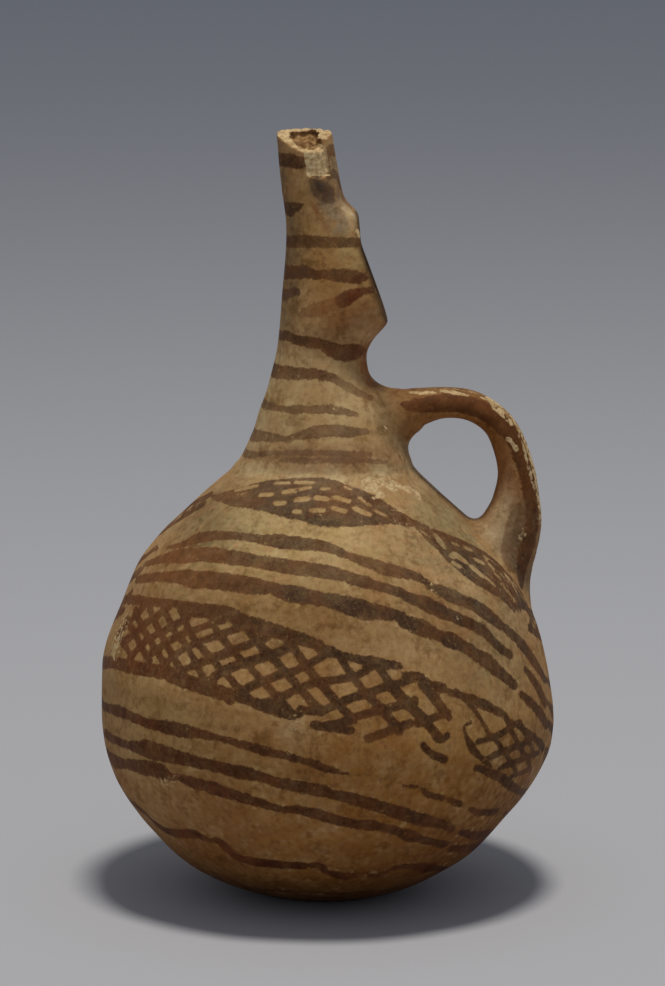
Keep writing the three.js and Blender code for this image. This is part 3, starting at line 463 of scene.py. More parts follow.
def smooth_table(rows, step=0.25, blur=1.2):
    """Rows of a table, read every step along their first column and softened over a blur in millimetres."""
    rows = np.array(rows, float)
    at = np.arange(rows[0, 0], rows[-1, 0] + step / 2, step)
    reach = int(3 * blur / step)
    weights = np.exp(-0.5 * (np.arange(-reach, reach + 1) * step / blur) ** 2)
    weights /= weights.sum()
    columns = []
    for column in rows.T[1:]:
        values = np.interp(at, rows[:, 0], column)
        rise = (values[1] - values[0], values[-1] - values[-2])
        before = values[0] - rise[0] * np.arange(reach, 0, -1)
        after = values[-1] + rise[1] * np.arange(1, reach + 1)
        columns.append(np.convolve(np.concatenate([before, values, after]), weights, "valid"))
    return at, np.array(columns)


def smooth_least(a, b, blend):
    """The lesser of two fields, rounded where they meet."""
    return np.minimum(a, b) - np.maximum(blend - np.abs(a - b), 0) ** 2 / (4 * blend)


def smooth_most(a, b, blend):
    """The greater of two fields, rounded where they meet."""
    return -smooth_least(-a, -b, blend)


class Waves:
    """A smooth, repeatable unevenness: waves in many directions, between a shortest and a longest length."""

    def __init__(self, seed, shortest, longest, count):
        draw = np.random.default_rng(seed)
        ways = draw.normal(size=(count, 3))
        ways /= np.linalg.norm(ways, axis=1)[:, None]
        lengths = np.exp(draw.uniform(math.log(shortest), math.log(longest), count))
        self.ways = ways * (2 * math.pi / lengths)[:, None]
        self.phases = draw.uniform(0, 2 * math.pi, count)
        self.gain = math.sqrt(2 / count)

    def __call__(self, points):
        return self.gain * np.sin(points @ self.ways.T + self.phases).sum(axis=1)


class PotForm:
    """The clay of the jug as a field in millimetres: below zero inside the clay, zero on its skin."""

    def __init__(self, shape):
        self.shape = shape
        self.heights, (beak_side, handle_side, self.depth) = smooth_table(POT_ROWS)
        self.mid = (handle_side - beak_side) / 2
        self.half = (handle_side + beak_side) / 2
        self.mid_slope = np.gradient(self.mid, self.heights)
        self.half_slope = np.gradient(self.half, self.heights)
        self.wall_heights, (self.wall,) = smooth_table(WALL_ROWS)
        self.cut_heights, (self.cut,) = smooth_table(CUT_ROWS, blur=0.8)
        self.slow = Waves(3, 26, 60, 14)
        self.dents = Waves(5, 8, 18, 22)
        self.fracture = Waves(11, 1.3, 4.5, 26)
        self.lay_handle()

    def lay_handle(self):
        """Works out the handle's middle line as close points, with its size and its directions at each."""
        fine = trace(HANDLE_ROWS, 160).T
        self.line = fine[:, :2]
        along = np.gradient(self.line, axis=0)
        self.step = np.linalg.norm(along, axis=1)
        self.along = along / self.step[:, None]
        self.across = np.stack([self.along[:, 1], -self.along[:, 0]], axis=1)
        self.thick = fine[:, 2] / 2
        self.wide = fine[:, 3] / 2
        self.thick_rate = np.gradient(self.thick) / self.step
        self.wide_rate = np.gradient(self.wide) / self.step

    def ring(self, points, inset=0.0):
        """Distance from the pot's outline, drawn in by an inset, square to the axis."""
        z = points[:, 2]
        mid, half, depth, mid_slope, half_slope = (
            np.interp(z, self.heights, column)
            for column in (self.mid, self.half, self.depth, self.mid_slope, self.half_slope)
        )
        x = points[:, 0] - mid
        y = points[:, 1]
        out = np.maximum(np.hypot(x, y), 1e-6)
        share = np.hypot(x / (half - inset), y / (depth - inset))
        slope = half_slope + mid_slope * x / out
        return (out - out / np.maximum(share, 1e-6)) / np.sqrt(1 + slope**2)

    def skin_point(self, bearing, height, inset=0.0):
        """The place on the pot's outline at a bearing in degrees and a height, or as far inside it as an inset."""
        turn = np.radians(bearing)
        mid, half, depth = (np.interp(height, self.heights, column) for column in (self.mid, self.half, self.depth))
        out = 1 / np.hypot(np.cos(turn) / (half - inset), np.sin(turn) / (depth - inset))
        return np.stack([mid + out * np.cos(turn), out * np.sin(turn), height], axis=-1)

    def pot(self, points):
        """Distance from the skin of the pot without its handle."""
        uneven = self.shape.wobble * self.slow(points) + self.shape.dents * self.dents(points)
        z = points[:, 2]
        ledge = z - read_rows(LEDGE_ROWS, self.bearing(points))
        ledge = LEDGE_RISE * np.clip(ledge / LEDGE_WIDE + 0.5, 0, 1) * np.clip(1 - ledge / LEDGE_FADE, 0, 1)
        return self.ring(points) - uneven * read_rows(UNEVEN_ROWS, z) - ledge

    def off_line(self, points):
        """The nearest place on the handle's middle line to each point, and the way from there in the line's plane."""
        flat = points[:, [0, 2]]
        which = ((flat[:, None, :] - self.line[None]) ** 2).sum(-1).argmin(1)
        return which, flat - self.line[which]

    def handle(self, points):
        """Distance from the handle's skin, far from it anything well above zero."""
        result = np.full(len(points), HANDLE_FAR)
        near = in_box(points, HANDLE_BOX)
        if not near.any():
            return result
        p = points[near]
        which, off = self.off_line(p)
        run = (off * self.along[which]).sum(1)
        across = (off * self.across[which]).sum(1)
        thick = self.thick[which] + self.thick_rate[which] * run
        wide = self.wide[which] + self.wide_rate[which] * run
        out = np.maximum(np.hypot(across, p[:, 1]), 1e-6)
        share = np.maximum(np.hypot(across / thick, p[:, 1] / wide), 1e-6)
        wobble, dents = HANDLE_WOBBLE * self.shape.wobble, HANDLE_DENTS * self.shape.dents
        uneven = wobble * self.slow(p) + dents * self.dents(p)
        result[near] = out - out / share - uneven
        return result

    def __call__(self, points):
        """Distance from the jug's skin: the pot and its handle, hollowed, cut away at the mouth, flat and broken."""
        z = points[:, 2]
        solid = smooth_least(self.pot(points), self.handle(points), self.shape.luting)
        # hollow of the neck, the mouth and the spout
        hollow = self.ring(points, np.interp(z, self.wall_heights, self.wall))
        hollow = np.maximum(hollow, CAVITY_FLOOR - z)
        solid = smooth_most(solid, -hollow, self.shape.rim)
        # mouth cut away on the handle's side
        kept = np.maximum(CUT_ROWS[0][0] - z, np.interp(z, self.cut_heights, self.cut) - points[:, 0])
        solid = smooth_most(solid, -kept, self.shape.rim)
        # the flat that it stands on
        solid = smooth_most(solid, -z, FOOT_EDGE)
        high = z > BREAK_FOOT
        if high.any():
            solid[high] = self.broken_tip(points[high], solid[high])
        return solid

    def broken_tip(self, points, solid):
        """The spout's end: snapped off unevenly, with a flake gone from its front and soil packed in its bore."""
        z = points[:, 2]
        rough = self.fracture(points)
        bearing = self.bearing(points)
        scar = read_rows(FLAKE_ROWS, bearing) * (1 + FLAKE_ROUGH * rough)
        foot = np.clip((z - FLAKE_FOOT - FOOT_ROUGH * rough) / FOOT_STEP, 0, 1)
        solid = np.maximum(solid, self.ring(points) + scar * foot * (scar > FLAKE_LEAST))
        end = read_rows(END_ROWS, bearing) + END_ROUGH * rough
        solid = smooth_most(solid, z - end, END_EDGE)
        soil = SOIL_TOP + SOIL_SLOPE * points[:, 1] + SOIL_ROUGH * rough
        for x, y, width, deep in SOIL_PITS:
            away = np.hypot(points[:, 0] - x, points[:, 1] - y) / width
            soil -= deep * np.exp(-(away**4))
        plug = np.maximum(np.maximum(z - soil, SOIL_FOOT - z), self.ring(points, SOIL_INSET))
        return smooth_least(solid, plug, SOIL_EDGE)

    def bearing(self, points):
        """Degrees round the pot's middle, from 0 at the handle; the photographed side is at 270."""
        mid = np.interp(points[:, 2], self.heights, self.mid)
        return np.degrees(np.arctan2(points[:, 1], points[:, 0] - mid)) % 360


def in_box(points, box):
    """Which points lie in a box on the handle's side: least reach, half width, lowest and highest."""
    reach, side, low, high = box
    x, y, z = points.T
    return (x > reach) & (np.abs(y) < side) & (z > low) & (z < high)


def catmull(values, at):
    """A smooth curve through values at whole-number knots."""
    low = np.clip(at.astype(int), 0, len(values) - 2)
    t = at - low
    padded = np.concatenate([[2 * values[0] - values[1]], values, [2 * values[-1] - values[-2]]])
    a, b, c, d = (padded[low + k] for k in range(4))
    return 0.5 * (2 * b + (c - a) * t + (2 * a - 5 * b + 4 * c - d) * t**2 + (3 * b - a - 3 * c + d) * t**3)


def trace(rows, count):
    """The columns of a table, each read at a count of even steps along a smooth curve through its rows."""
    rows = np.array(rows, float)
    at = np.linspace(0, len(rows) - 1, count)
    return np.array([catmull(column, at) for column in rows.T])


# ---- turning a field into a mesh of even quads

# How many points are read at a time, and how many blocks of the grid, each this many cells long
CHUNK = 400_000
BATCH = 600
BLOCK = 8
# The least slope, squared, that a step onto the skin divides by; how far points move to their neighbours' middle in a
# turn of evening out; and the value that fills a cell of the grid
LEAST_SLOPE, RELAX, FILLED = 0.05, 0.6, -0.01


def read_field(field, points):
    """A field's values at any number of points."""
    return np.concatenate([field(points[i : i + CHUNK]) for i in range(0, len(points), CHUNK)])


def field_slope(field, points, reach=0.06):
    """A field's value and its slope at some points."""
    here = read_field(field, points)
    slope = np.empty_like(points)
    for axis in range(3):
        moved = points.copy()
        moved[:, axis] += reach
        slope[:, axis] = (read_field(field, moved) - here) / reach
    return here, slope


def settle(field, points, turns, stride=1.0, axes=3):
    """Moves points onto the field's zero skin, along all axes or only the first two."""
    for _ in range(turns):
        here, slope = field_slope(field, points)
        slope[:, axes:] = 0
        size = np.maximum((slope**2).sum(1), LEAST_SLOPE)
        points = points - slope * (np.clip(here, -stride, stride) / size)[:, None]
    return points


def settle_flat(field, points):
    """Moves points onto the skin without leaving their height."""
    return settle(field, points, 3, stride=0.8, axes=2)


def skin_net(field, low, high, step):
    """A closed net of quads on the field's zero skin: one point in each grid cell that the skin passes."""
    low = np.array(low, float)
    counts = (np.ceil((np.array(high) - low) / step / BLOCK).astype(int) + 1) * BLOCK
    blocks = counts // BLOCK
    grid = np.stack(np.meshgrid(*(np.arange(n) for n in blocks), indexing="ij"), -1).reshape(-1, 3)
    centres = low + (grid * BLOCK + (BLOCK - 1) / 2) * step
    level = read_field(field, centres)
    # a block's corners are less than one and a half of its sides from its middle
    near = np.abs(level) < BLOCK * step * 1.5
    values = np.empty(counts, np.float32)
    tiles = values.reshape(blocks[0], BLOCK, blocks[1], BLOCK, blocks[2], BLOCK).transpose(0, 2, 4, 1, 3, 5)
    tiles[:] = np.where(near, 0, level).reshape(*blocks, 1, 1, 1)
    inner = np.stack(np.meshgrid(*(np.arange(BLOCK),) * 3, indexing="ij"), -1).reshape(-1, 3)
    chosen = grid[near]
    for i in range(0, len(chosen), BATCH):
        part = chosen[i : i + BATCH]
        points = low + (part[:, None, :] * BLOCK + inner[None]) * step
        found = field(points.reshape(-1, 3)).reshape(len(part), BLOCK, BLOCK, BLOCK)
        tiles[part[:, 0], part[:, 1], part[:, 2]] = found
    values = untangle(tiles.transpose(0, 3, 1, 4, 2, 5).reshape(counts))
    inside = values < 0
    corners = [(i, j, k) for i in (0, 1) for j in (0, 1) for k in (0, 1)]
    filled = sum(inside[tuple(slice(o, n - 1 + o) for o, n in zip(c, counts))].astype(np.int8) for c in corners)
    cells = np.argwhere((filled > 0) & (filled < 8))
    number = np.full(counts - 1, -1, np.int64)
    number[tuple(cells.T)] = np.arange(len(cells))
    total = np.zeros((len(cells), 3))
    hits = np.zeros(len(cells))
    for a in corners:
        for axis in range(3):
            if a[axis]:
                continue
            b = tuple(1 if k == axis else a[k] for k in range(3))
            va = values[tuple((cells + a).T)]
            vb = values[tuple((cells + b).T)]
            crossed = (va < 0) != (vb < 0)
            t = np.where(crossed, va / np.where(crossed, va - vb, 1), 0)
            place = np.array(a) + t[:, None] * (np.array(b) - np.array(a))
            total += place * crossed[:, None]
            hits += crossed
    points = low + (cells + total / hits[:, None]) * step
    quads = []
    for axis in range(3):
        first = [slice(1, -1)] * 3
        first[axis] = slice(0, -1)
        second = list(first)
        second[axis] = slice(1, None)
        change = inside[tuple(first)].astype(np.int8) - inside[tuple(second)]
        spots = np.argwhere(change != 0)
        way = change[tuple(spots.T)]
        spots[:, [k for k in range(3) if k != axis]] += 1
        u, v = (axis + 1) % 3, (axis + 2) % 3
        ring = []
        for du, dv in ((0, 0), (1, 0), (1, 1), (0, 1)):
            at = spots.copy()
            at[:, u] -= 1 - du
            at[:, v] -= 1 - dv
            ring.append(number[tuple(at.T)])
        quad = np.stack(ring, 1)
        quad[way < 0] = quad[way < 0][:, ::-1]
        quads.append(quad)
    return points, np.concatenate(quads)


def untangle(values):
    """Fills the grid where the clay would touch itself along a mere line, which no clean net can follow."""
    ways = ((0, 0), (1, 1), (0, 1), (1, 0))
    for axis in (0, 1, 2) * 4:
        views = []
        for way in ways:
            index = [slice(None)] * 3
            for side, shift in zip([k for k in range(3) if k != axis], way):
                index[side] = slice(shift, values.shape[side] - 1 + shift)
            views.append(values[tuple(index)])
        a, b, c, d = (view < 0 for view in views)
        crossed = (a == b) & (c == d) & (a != c)
        for view in views:
            view[crossed] = np.minimum(view[crossed], FILLED)
    return values


def even_out(field, points, quads, turns):
    """Relaxes a net along its skin, so that its quads come out even."""
    after = np.roll(quads, -1, axis=1)
    near = np.concatenate([quads.ravel(), after.ravel()])
    other = np.concatenate([after.ravel(), quads.ravel()])
    count = np.bincount(near, minlength=len(points))[:, None]
    for _ in range(turns):
        middle = np.stack([np.bincount(near, points[other, k], len(points)) for k in range(3)], 1) / count
        points = settle(field, points + RELAX * (middle - points), 1)
    return settle(field, points, 1)


def snap_to_seams(form, points, reach):
    """Lays the points that nearly touch a seam on it, so that no sliver is cut there."""
    for seam in SEAMS:
        near = np.abs(points[:, 2] - seam) < reach
        part = points[near]
        part[:, 2] = seam
        points[near] = settle_flat(form, part)
    return points


def cut_along_seams(points, quads):
    """The net with an edge along every seam, and with finer faces on the spout: points, loop starts, loop points."""
    mesh = bpy.data.meshes.new("net")
    fill_mesh(mesh, points, np.arange(len(quads)) * 4, quads.ravel())
    bm = bmesh.new()
    bm.from_mesh(mesh)
    for seam in SEAMS:
        faces = [f for f in bm.faces if abs(f.verts[0].co.z - seam) < SEAM_REACH]
        verts = {v for f in faces for v in f.verts}
        edges = {e for f in faces for e in f.edges}
        parts = [*verts, *edges, *faces]
        bmesh.ops.bisect_plane(bm, geom=parts, dist=ON_SEAM, plane_co=(0, 0, seam), plane_no=(0, 0, 1))
    fine = [e for e in bm.edges if min(v.co.z for v in e.verts) > SPOUT_SEAM - 2 * ON_SEAM]
    bmesh.ops.subdivide_edges(bm, edges=fine, cuts=1, use_grid_fill=True)
    bm.to_mesh(mesh)
    bm.free()
    points = np.empty(len(mesh.vertices) * 3)
    mesh.vertices.foreach_get("co", points)
    corners = np.empty(len(mesh.loops), np.int64)
    mesh.loops.foreach_get("vertex_index", corners)
    starts = np.empty(len(mesh.polygons), np.int64)
    mesh.polygons.foreach_get("loop_start", starts)
    bpy.data.meshes.remove(mesh)
    return points.reshape(-1, 3), starts, corners


def fill_mesh(mesh, points, starts, corners):
    """Gives an empty mesh its points and faces."""
    mesh.vertices.add(len(points))
    mesh.vertices.foreach_set("co", np.ascontiguousarray(points, np.float32).ravel())
    mesh.loops.add(len(corners))
    mesh.loops.foreach_set("vertex_index", np.ascontiguousarray(corners, np.int32))
    mesh.polygons.add(len(starts))
    mesh.polygons.foreach_set("loop_start", np.ascontiguousarray(starts, np.int32))
    mesh.update(calc_edges=True)


class Skin:
    """The jug's clay in one net, cut at its joints, with what every point carries for the shaders."""

    def __init__(self, shape, look):
        form = PotForm(shape)
        self.form = form
        step = shape.grain * 1
        points, quads = skin_net(form, *SKIN_BOX, step)
        points = even_out(form, settle(form, points, 3), quads, 3)
        points = snap_to_seams(form, points, SNAP * step)
        points, self.starts, self.corners = cut_along_seams(points, quads)
        on_seam = np.min(np.abs(points[:, 2:] - np.array(SEAMS)), axis=1) < 2 * ON_SEAM
        points[on_seam] = settle_flat(form, points[on_seam])
        points[~on_seam] = settle(form, points[~on_seam], 2)
        self.points = points
        slope = field_slope(form, points)[1]
        self.normals = slope / np.linalg.norm(slope, axis=1)[:, None]
        self.totals = np.diff(np.append(self.starts, len(self.corners)))
        self.faces = self.sort_faces()
        self.flat = self.close_pieces()
        self.marks = lay_marks(self, look)

    def sort_faces(self):
        """The faces of the net that belong to each piece."""
        centre = np.add.reduceat(self.points[self.corners], self.starts) / self.totals[:, None]
        ring = self.form.ring(centre)
        on_handle = (self.form.handle(centre) < ring) & (ring > INNER_SIDE)
        z = centre[:, 2]
        # under the neck the field's own hollow gives way to the coarse inner wall
        kept = (z > NECK_SEAT) | (z < 1) | (ring > INNER_SIDE - 1)
        faces = {"handle": np.where(on_handle)[0]}
        floor = -np.inf
        for name, top in zip(SKIN_PIECES, (*SEAMS, np.inf)):
            faces[name] = np.where(kept & ~on_handle & (z > floor + ON_SEAM) & (z <= top + ON_SEAM))[0]
            floor = top
        return faces

    def rim(self, name):
        """The directed edges of a piece that only one of its faces has."""
        start, after = self.sides_of(self.faces[name])
        count = len(self.points)
        edges = np.stack([start, after], 1)
        alone = ~np.isin(start * count + after, after * count + start)
        return edges[alone]

    def sides_of(self, faces):
        """The two ends of every side of some faces."""
        follow = np.arange(1, len(self.corners) + 1)
        follow[self.starts + self.totals - 1] = self.starts
        chosen = np.zeros(len(self.starts), bool)
        chosen[faces] = True
        chosen = np.repeat(chosen, self.totals)
        return self.corners[chosen], self.corners[follow[chosen]]

    def add_points(self, points):
        """Adds points that only flat faces use, and gives their numbers."""
        first = len(self.points)
        self.points = np.concatenate([self.points, points])
        self.normals = np.concatenate([self.normals, np.tile((0.0, 0.0, 1.0), (len(points), 1))])
        return np.arange(first, len(self.points))

    def seam_rings(self, name, seam):
        """The outer and the inner ring of points of a piece at a seam, each in order round the pot."""
        ends = np.unique(self.rim(name))
        ends = ends[np.abs(self.points[ends, 2] - seam) < 4 * ON_SEAM]
        outside = self.form.ring(self.points[ends]) > INNER_SIDE
        return [ring[np.argsort(self.turns(ring, ends[0]))] for ring in (ends[outside], ends[~outside])]

    def turns(self, ring, level):
        """The turn of a ring's points about the pot's middle, at the height of a level point."""
        mid = np.interp(self.points[level, 2], self.form.heights, self.form.mid)
        return np.arctan2(self.points[ring, 1], self.points[ring, 0] - mid)

    def zip_rings(self, outer, inner, up):
        """Triangles between two rings, facing up or down."""
        a, b = (self.turns(ring, outer[0]) for ring in (outer, inner))
        i = j = 0
        result = []
        while i < len(outer) or j < len(inner):
            next_a = a[i + 1] if i + 1 < len(a) else a[0] + 2 * math.pi if i < len(a) else np.inf
            next_b = b[j + 1] if j + 1 < len(b) else b[0] + 2 * math.pi if j < len(b) else np.inf
            o, n = outer[i % len(outer)], inner[j % len(inner)]
            if next_a <= next_b:
                result.append((o, outer[(i + 1) % len(outer)], n))
                i += 1
            else:
                result.append((o, inner[(j + 1) % len(inner)], n))
                j += 1
        result = np.array(result)
        return result if up else result[:, ::-1]

    def wall_ring(self, height, inset):
        """A coarse ring on the inside of the body's wall."""
        turn = np.linspace(-math.pi, math.pi, WALL_SIDES, endpoint=False)
        return self.add_points(self.form.skin_point(np.degrees(turn), np.full(WALL_SIDES, height), inset))

    def close_pieces(self):
        """The flat faces that close each piece at its joints, and the body's coarse inner wall."""
        rings = {seam: self.seam_rings(above, seam) for above, seam in zip(SKIN_PIECES[1:], SEAMS)}
        flat = {name: [] for name in (*SKIN_PIECES, "handle")}

        def join(below, above, faces):
            flat[below].append(faces)
            flat[above].append(faces[:, ::-1])

        for seam, below, above in zip(SEAMS[1:], SKIN_PIECES[1:], SKIN_PIECES[2:]):
            join(below, above, self.zip_rings(*rings[seam], True))
        wall = self.form.shape.wall
        seam_ring = self.wall_ring(BELLY_SEAM, wall)
        join("body_bowl", "body_shoulder", self.zip_rings(rings[BELLY_SEAM][0], seam_ring, True))
        below = [seam_ring] + [self.wall_ring(z, wall) for z in BOWL_RINGS]
        below.append(self.wall_ring(FLOOR_RING, wall * FLOOR_FLARE))
        for top, bottom in zip(below, below[1:]):
            flat["body_bowl"].append(self.zip_rings(top, bottom, True))
        middle = self.add_points(np.array([[FLOOR_MIDDLE, 0, self.form.shape.floor]]))[0]
        last = below[-1]
        flat["body_bowl"].append(np.stack([last, np.roll(last, -1), np.full(len(last), middle)], 1))
        over = [seam_ring] + [self.wall_ring(z, wall) for z in DOME_RINGS]
        for bottom, top in zip(over, over[1:]):
            flat["body_shoulder"].append(self.zip_rings(bottom, top, False))
        flat["body_shoulder"].append(self.zip_rings(over[-1], rings[NECK_SEAT][1], False))
        # the handle's two roots, each closed by a fan onto one point in the clay
        edges = self.rim("handle")
        upper = self.points[edges[:, 0], 2] > NECK_SEAT
        for part, owner in ((upper, "neck"), (~upper, "body_shoulder")):
            loop = edges[part]
            heart = self.points[loop[:, 0]].mean(0) - ROOT_DEPTH * self.normals[loop[:, 0]].mean(0)
            middle = self.add_points(heart[None])[0]
            join("handle", owner, np.stack([loop[:, 1], loop[:, 0], np.full(len(loop), middle)], 1))
        return {name: np.concatenate(parts) for name, parts in flat.items()}

    def build(self, name, label):
        """One piece as a mesh object in metres, with its normals and marks."""
        totals = self.totals[self.faces[name]]
        first = np.cumsum(totals) - totals
        source = np.repeat(self.starts[self.faces[name]] - first, totals) + np.arange(totals.sum())
        corners = self.corners[source]
        caps = self.flat[name]
        starts = np.concatenate([first, totals.sum() + 3 * np.arange(len(caps))])
        skin_corners = len(corners)
        corners = np.concatenate([corners, caps.ravel()])
        used, corners = np.unique(corners, return_inverse=True)
        mesh = bpy.data.meshes.new(label)
        fill_mesh(mesh, self.points[used] * MM, starts, corners)
        mesh.shade_smooth()
        a, b, c = (self.points[caps[:, k]] for k in range(3))
        sides = np.cross(b - a, c - a)
        sides /= np.maximum(np.linalg.norm(sides, axis=1), 1e-9)[:, None]
        normals = np.concatenate([self.normals[used[corners[:skin_corners]]], np.repeat(sides, 3, axis=0)])
        mesh.normals_split_custom_set(normals.tolist())
        for mark, values in self.marks.items():
            kind = "FLOAT_COLOR" if values.ndim == 2 else "FLOAT"
            field = "color" if values.ndim == 2 else "value"
            layer = mesh.attributes.new(mark, kind, "POINT")
            layer.data.foreach_set(field, np.ascontiguousarray(values[used], np.float32).ravel())
        piece = bpy.data.objects.new(label, mesh)
        bpy.context.scene.collection.objects.link(piece)
        return piece


# ---- where the painter's brush went, and where the paint and the clay have worn


def stroke_places(form, rows, spacing=0.3):
    """A brush stroke given by bearing, height and half width, as close points on the pot's outline with half widths."""
    rough = form.skin_point(*np.array(rows, float).T[:2])
    length = np.linalg.norm(np.diff(rough, axis=0), axis=1).sum()
    bearing, height, half = trace(rows, max(4, int(length / spacing)))
    return form.skin_point(bearing, height), np.clip(half, *HALF_WIDTHS)


def handle_places(form, rows, count=HANDLE_STEPS):
    """The same for a stroke on the handle, given by a per cent along it, a turn about it and a half width."""
    share, turn, half = trace(rows, count)
    which = np.clip(share / 100 * (len(form.line) - 1), 0, len(form.line) - 1)
    index = np.arange(len(form.line))
    line, across = ([np.interp(which, index, part[:, k]) for k in (0, 1)] for part in (form.line, form.across))
    thick, wide = (np.interp(which, index, part) for part in (form.thick, form.wide))
    turn = np.radians(turn)
    off = thick * np.cos(turn)
    places = [line[0] + across[0] * off, wide * np.sin(turn), line[1] + across[1] * off]
    return np.stack(places, 1), np.clip(half, *HALF_WIDTHS)


def between(upper, lower, count=7):
    """Strokes side by side that fill a band between its two edges."""
    at = np.linspace(0, 1, 16)
    edges = []
    for edge in (upper, lower):
        edge = np.array(edge, float)
        share = np.linspace(0, 1, len(edge))
        edges.append(np.stack([np.interp(at, share, edge[:, k]) for k in (0, 1)], 1))
    # on the shoulder a degree of bearing is about 0.4 mm, and a mm of height 1.2 mm of its slope
    gap = np.linalg.norm((edges[1] - edges[0]) * (0.4, 1.2), axis=1)
    half = np.clip(gap / count * 0.8, 0.45, 1.2)
    inset = np.clip(half / np.maximum(gap, 0.1), 0, 0.5)
    result = []
    for share in np.linspace(0, 1, count):
        share = inset + (1 - 2 * inset) * share
        middle = edges[0] * (1 - share)[:, None] + edges[1] * share[:, None]
        result.append(np.column_stack([middle, half]))
    return result


def behind(rows):
    """A neck band's copy on the far side, mirrored, with a little sway in its height."""
    return [(360 - bearing, height + 0.5 * math.sin(3 * bearing), half) for bearing, height, half in rows]


def wave(at, mid, swing, lead):
    """The heights, at some bearings, of a line that goes round the body as a wave."""
    return mid + swing * np.cos(np.radians(at - lead))


def round_the_back(draw, mid, swing, lead, low):
    """A body stripe carried on round the back, in strokes as long as one load of the brush."""
    result = []
    start = BACK_FROM
    while start < BACK_TO - BACK_SHORTEST:
        end = min(start + draw.uniform(*BRUSH_LOADS), BACK_TO)
        at = np.linspace(start, end, BACK_POINTS)
        height = np.maximum(wave(at, mid, swing, lead), low) + draw.uniform(-BACK_SWAY, BACK_SWAY, BACK_POINTS)
        half = BACK_HALF + draw.uniform(-BACK_VARY, BACK_VARY, BACK_POINTS)
        half[[0, -1]] *= BACK_TAPER
        result.append(np.stack([at, height, half], 1))
        start = end + draw.uniform(-BACK_LAP, BACK_LAP)
    return result


def back_lattice(draw, low, high, rise_gap, fall_gap, half):
    """Crossing hatch lines between two border lines, each a table of bearing and height."""
    result = []
    lead = 8.0
    first, last = low[0][0], low[-1][0]
    line = np.linspace(0, 1, 4)
    for gap, start, goal in ((rise_gap, low, high), (fall_gap, high, low)):
        at = first - lead
        while at < last:
            tall = read_rows(high, at + lead) - read_rows(low, at + lead)
            slant = math.radians(draw.uniform(*LATTICE_SLANTS))
            run = math.degrees(tall / (LATTICE_REACH * math.tan(slant)))
            if at > first and at + run < last:
                height = read_rows(start, at) * (1 - line) + read_rows(goal, at + run) * line
                bend = draw.uniform(-LATTICE_BEND, LATTICE_BEND) * np.sin(line * math.pi)
                width = half + draw.uniform(-LATTICE_VARY, LATTICE_VARY, len(line))
                result.append(np.stack([at + run * line, height + bend, width], 1))
            at += gap * draw.uniform(*LATTICE_GAPS)
    return result


def widened(rows, by):
    """The rows of a stroke with its half widths made greater."""
    return [(bearing, height, half + by) for bearing, height, half in rows]


def all_strokes(form):
    """Every stroke of the brush as places, half widths and how much paint it left."""
    draw = np.random.default_rng(21)
    on_pot = []
    for name, rows in BRUSH_STROKES.items():
        load = FAINT_STROKES.get(name, 1.0)
        on_neck = name.startswith("neck")
        if name.startswith("stripe"):
            rows = widened(rows, STRIPE_SPREAD)
        if on_neck and rows[0][0] < NECK_START:
            rows = ((NECK_JOIN, *rows[0][1:]), *rows)
        on_pot.append((rows, load))
        if on_neck and "low" not in name:
            on_pot.append((behind(rows), load))
    full = [widened(rows, HATCH_SPREAD) for rows in BELLY_HATCH]
    for upper, lower in FULL_BANDS:
        full += between(upper, lower)
    for stripe in BACK_STRIPES:
        full += round_the_back(draw, *stripe)
    for table in (BACK_BAND_TOP, BACK_BAND_LOW, BACK_WAVE):
        full.append([(*row, BACK_EDGE_HALF) for row in table])
    at = np.linspace(BACK_FROM, BACK_TO - 8, 30)
    top, low = (np.stack([at, wave(at, *stripe[:3])], 1) for stripe in BACK_STRIPES[:2])
    full += back_lattice(draw, low, top, *WIDE_LATTICE)
    full += back_lattice(draw, BACK_BAND_LOW, BACK_BAND_TOP, *SHOULDER_LATTICE)
    placed = [(*stroke_places(form, rows), load) for rows, load in (*on_pot, *((rows, 1.0) for rows in full))]
    for load, rows in HANDLE_STROKES:
        # each stroke is on both sides of the handle
        for side in (rows, [(share, 360 - turn, half) for share, turn, half in rows]):
            placed.append((*handle_places(form, side), load))
    return placed


def soft_patch(across, up, wide, tall):
    """A share that is 1 in the middle of a patch and fades with its two spreads."""
    return np.exp(-0.5 * ((across / wide) ** 2 + (up / tall) ** 2))


def round_from(bearing, at):
    """Degrees round the pot from a bearing, the short way."""
    return (bearing - at + 180) % 360 - 180


def lay_over(colour, share, tint):
    """Mixes a linear tint over the colours of the points, by a share for each."""
    colour[:, :3] += share[:, None] * (np.array(tint) - colour[:, :3])


def patched(form, points, patches, base):
    """A colour for each point: a base colour under soft, mottled patches, laid one over the other."""
    bearing = form.bearing(points)
    colour = np.tile((*base, 1.0), (len(points), 1))
    mottle = Waves(51, 1.8, 9, 32)(points)
    for at, height, spread, tall, tint, strength in patches:
        share = strength * soft_patch(round_from(bearing, at), points[:, 2] - height, spread, tall)
        lay_over(colour, np.clip(share + 0.5 * mottle * share * (1 - share), 0, 1), linear(tint))
    return colour


def press(points, places, half, value):
    """Raises a value, in mm inside the edge of a stroke, at the points that the stroke touches; gives those points."""
    touched = []
    for start in range(0, len(half), 24):
        chunk, reach = places[start : start + 25], half[start : start + 25]
        low, high = chunk.min(0) - BRUSH_REACH, chunk.max(0) + BRUSH_REACH
        near = np.where(((points > low) & (points < high)).all(1))[0]
        if len(near):
            found = (reach[None] - np.linalg.norm(points[near, None] - chunk[None], axis=2)).max(1)
            better = found > value[near]
            value[near[better]] = found[better]
            touched.append(near[better])
    return np.concatenate(touched) if touched else np.empty(0, int)


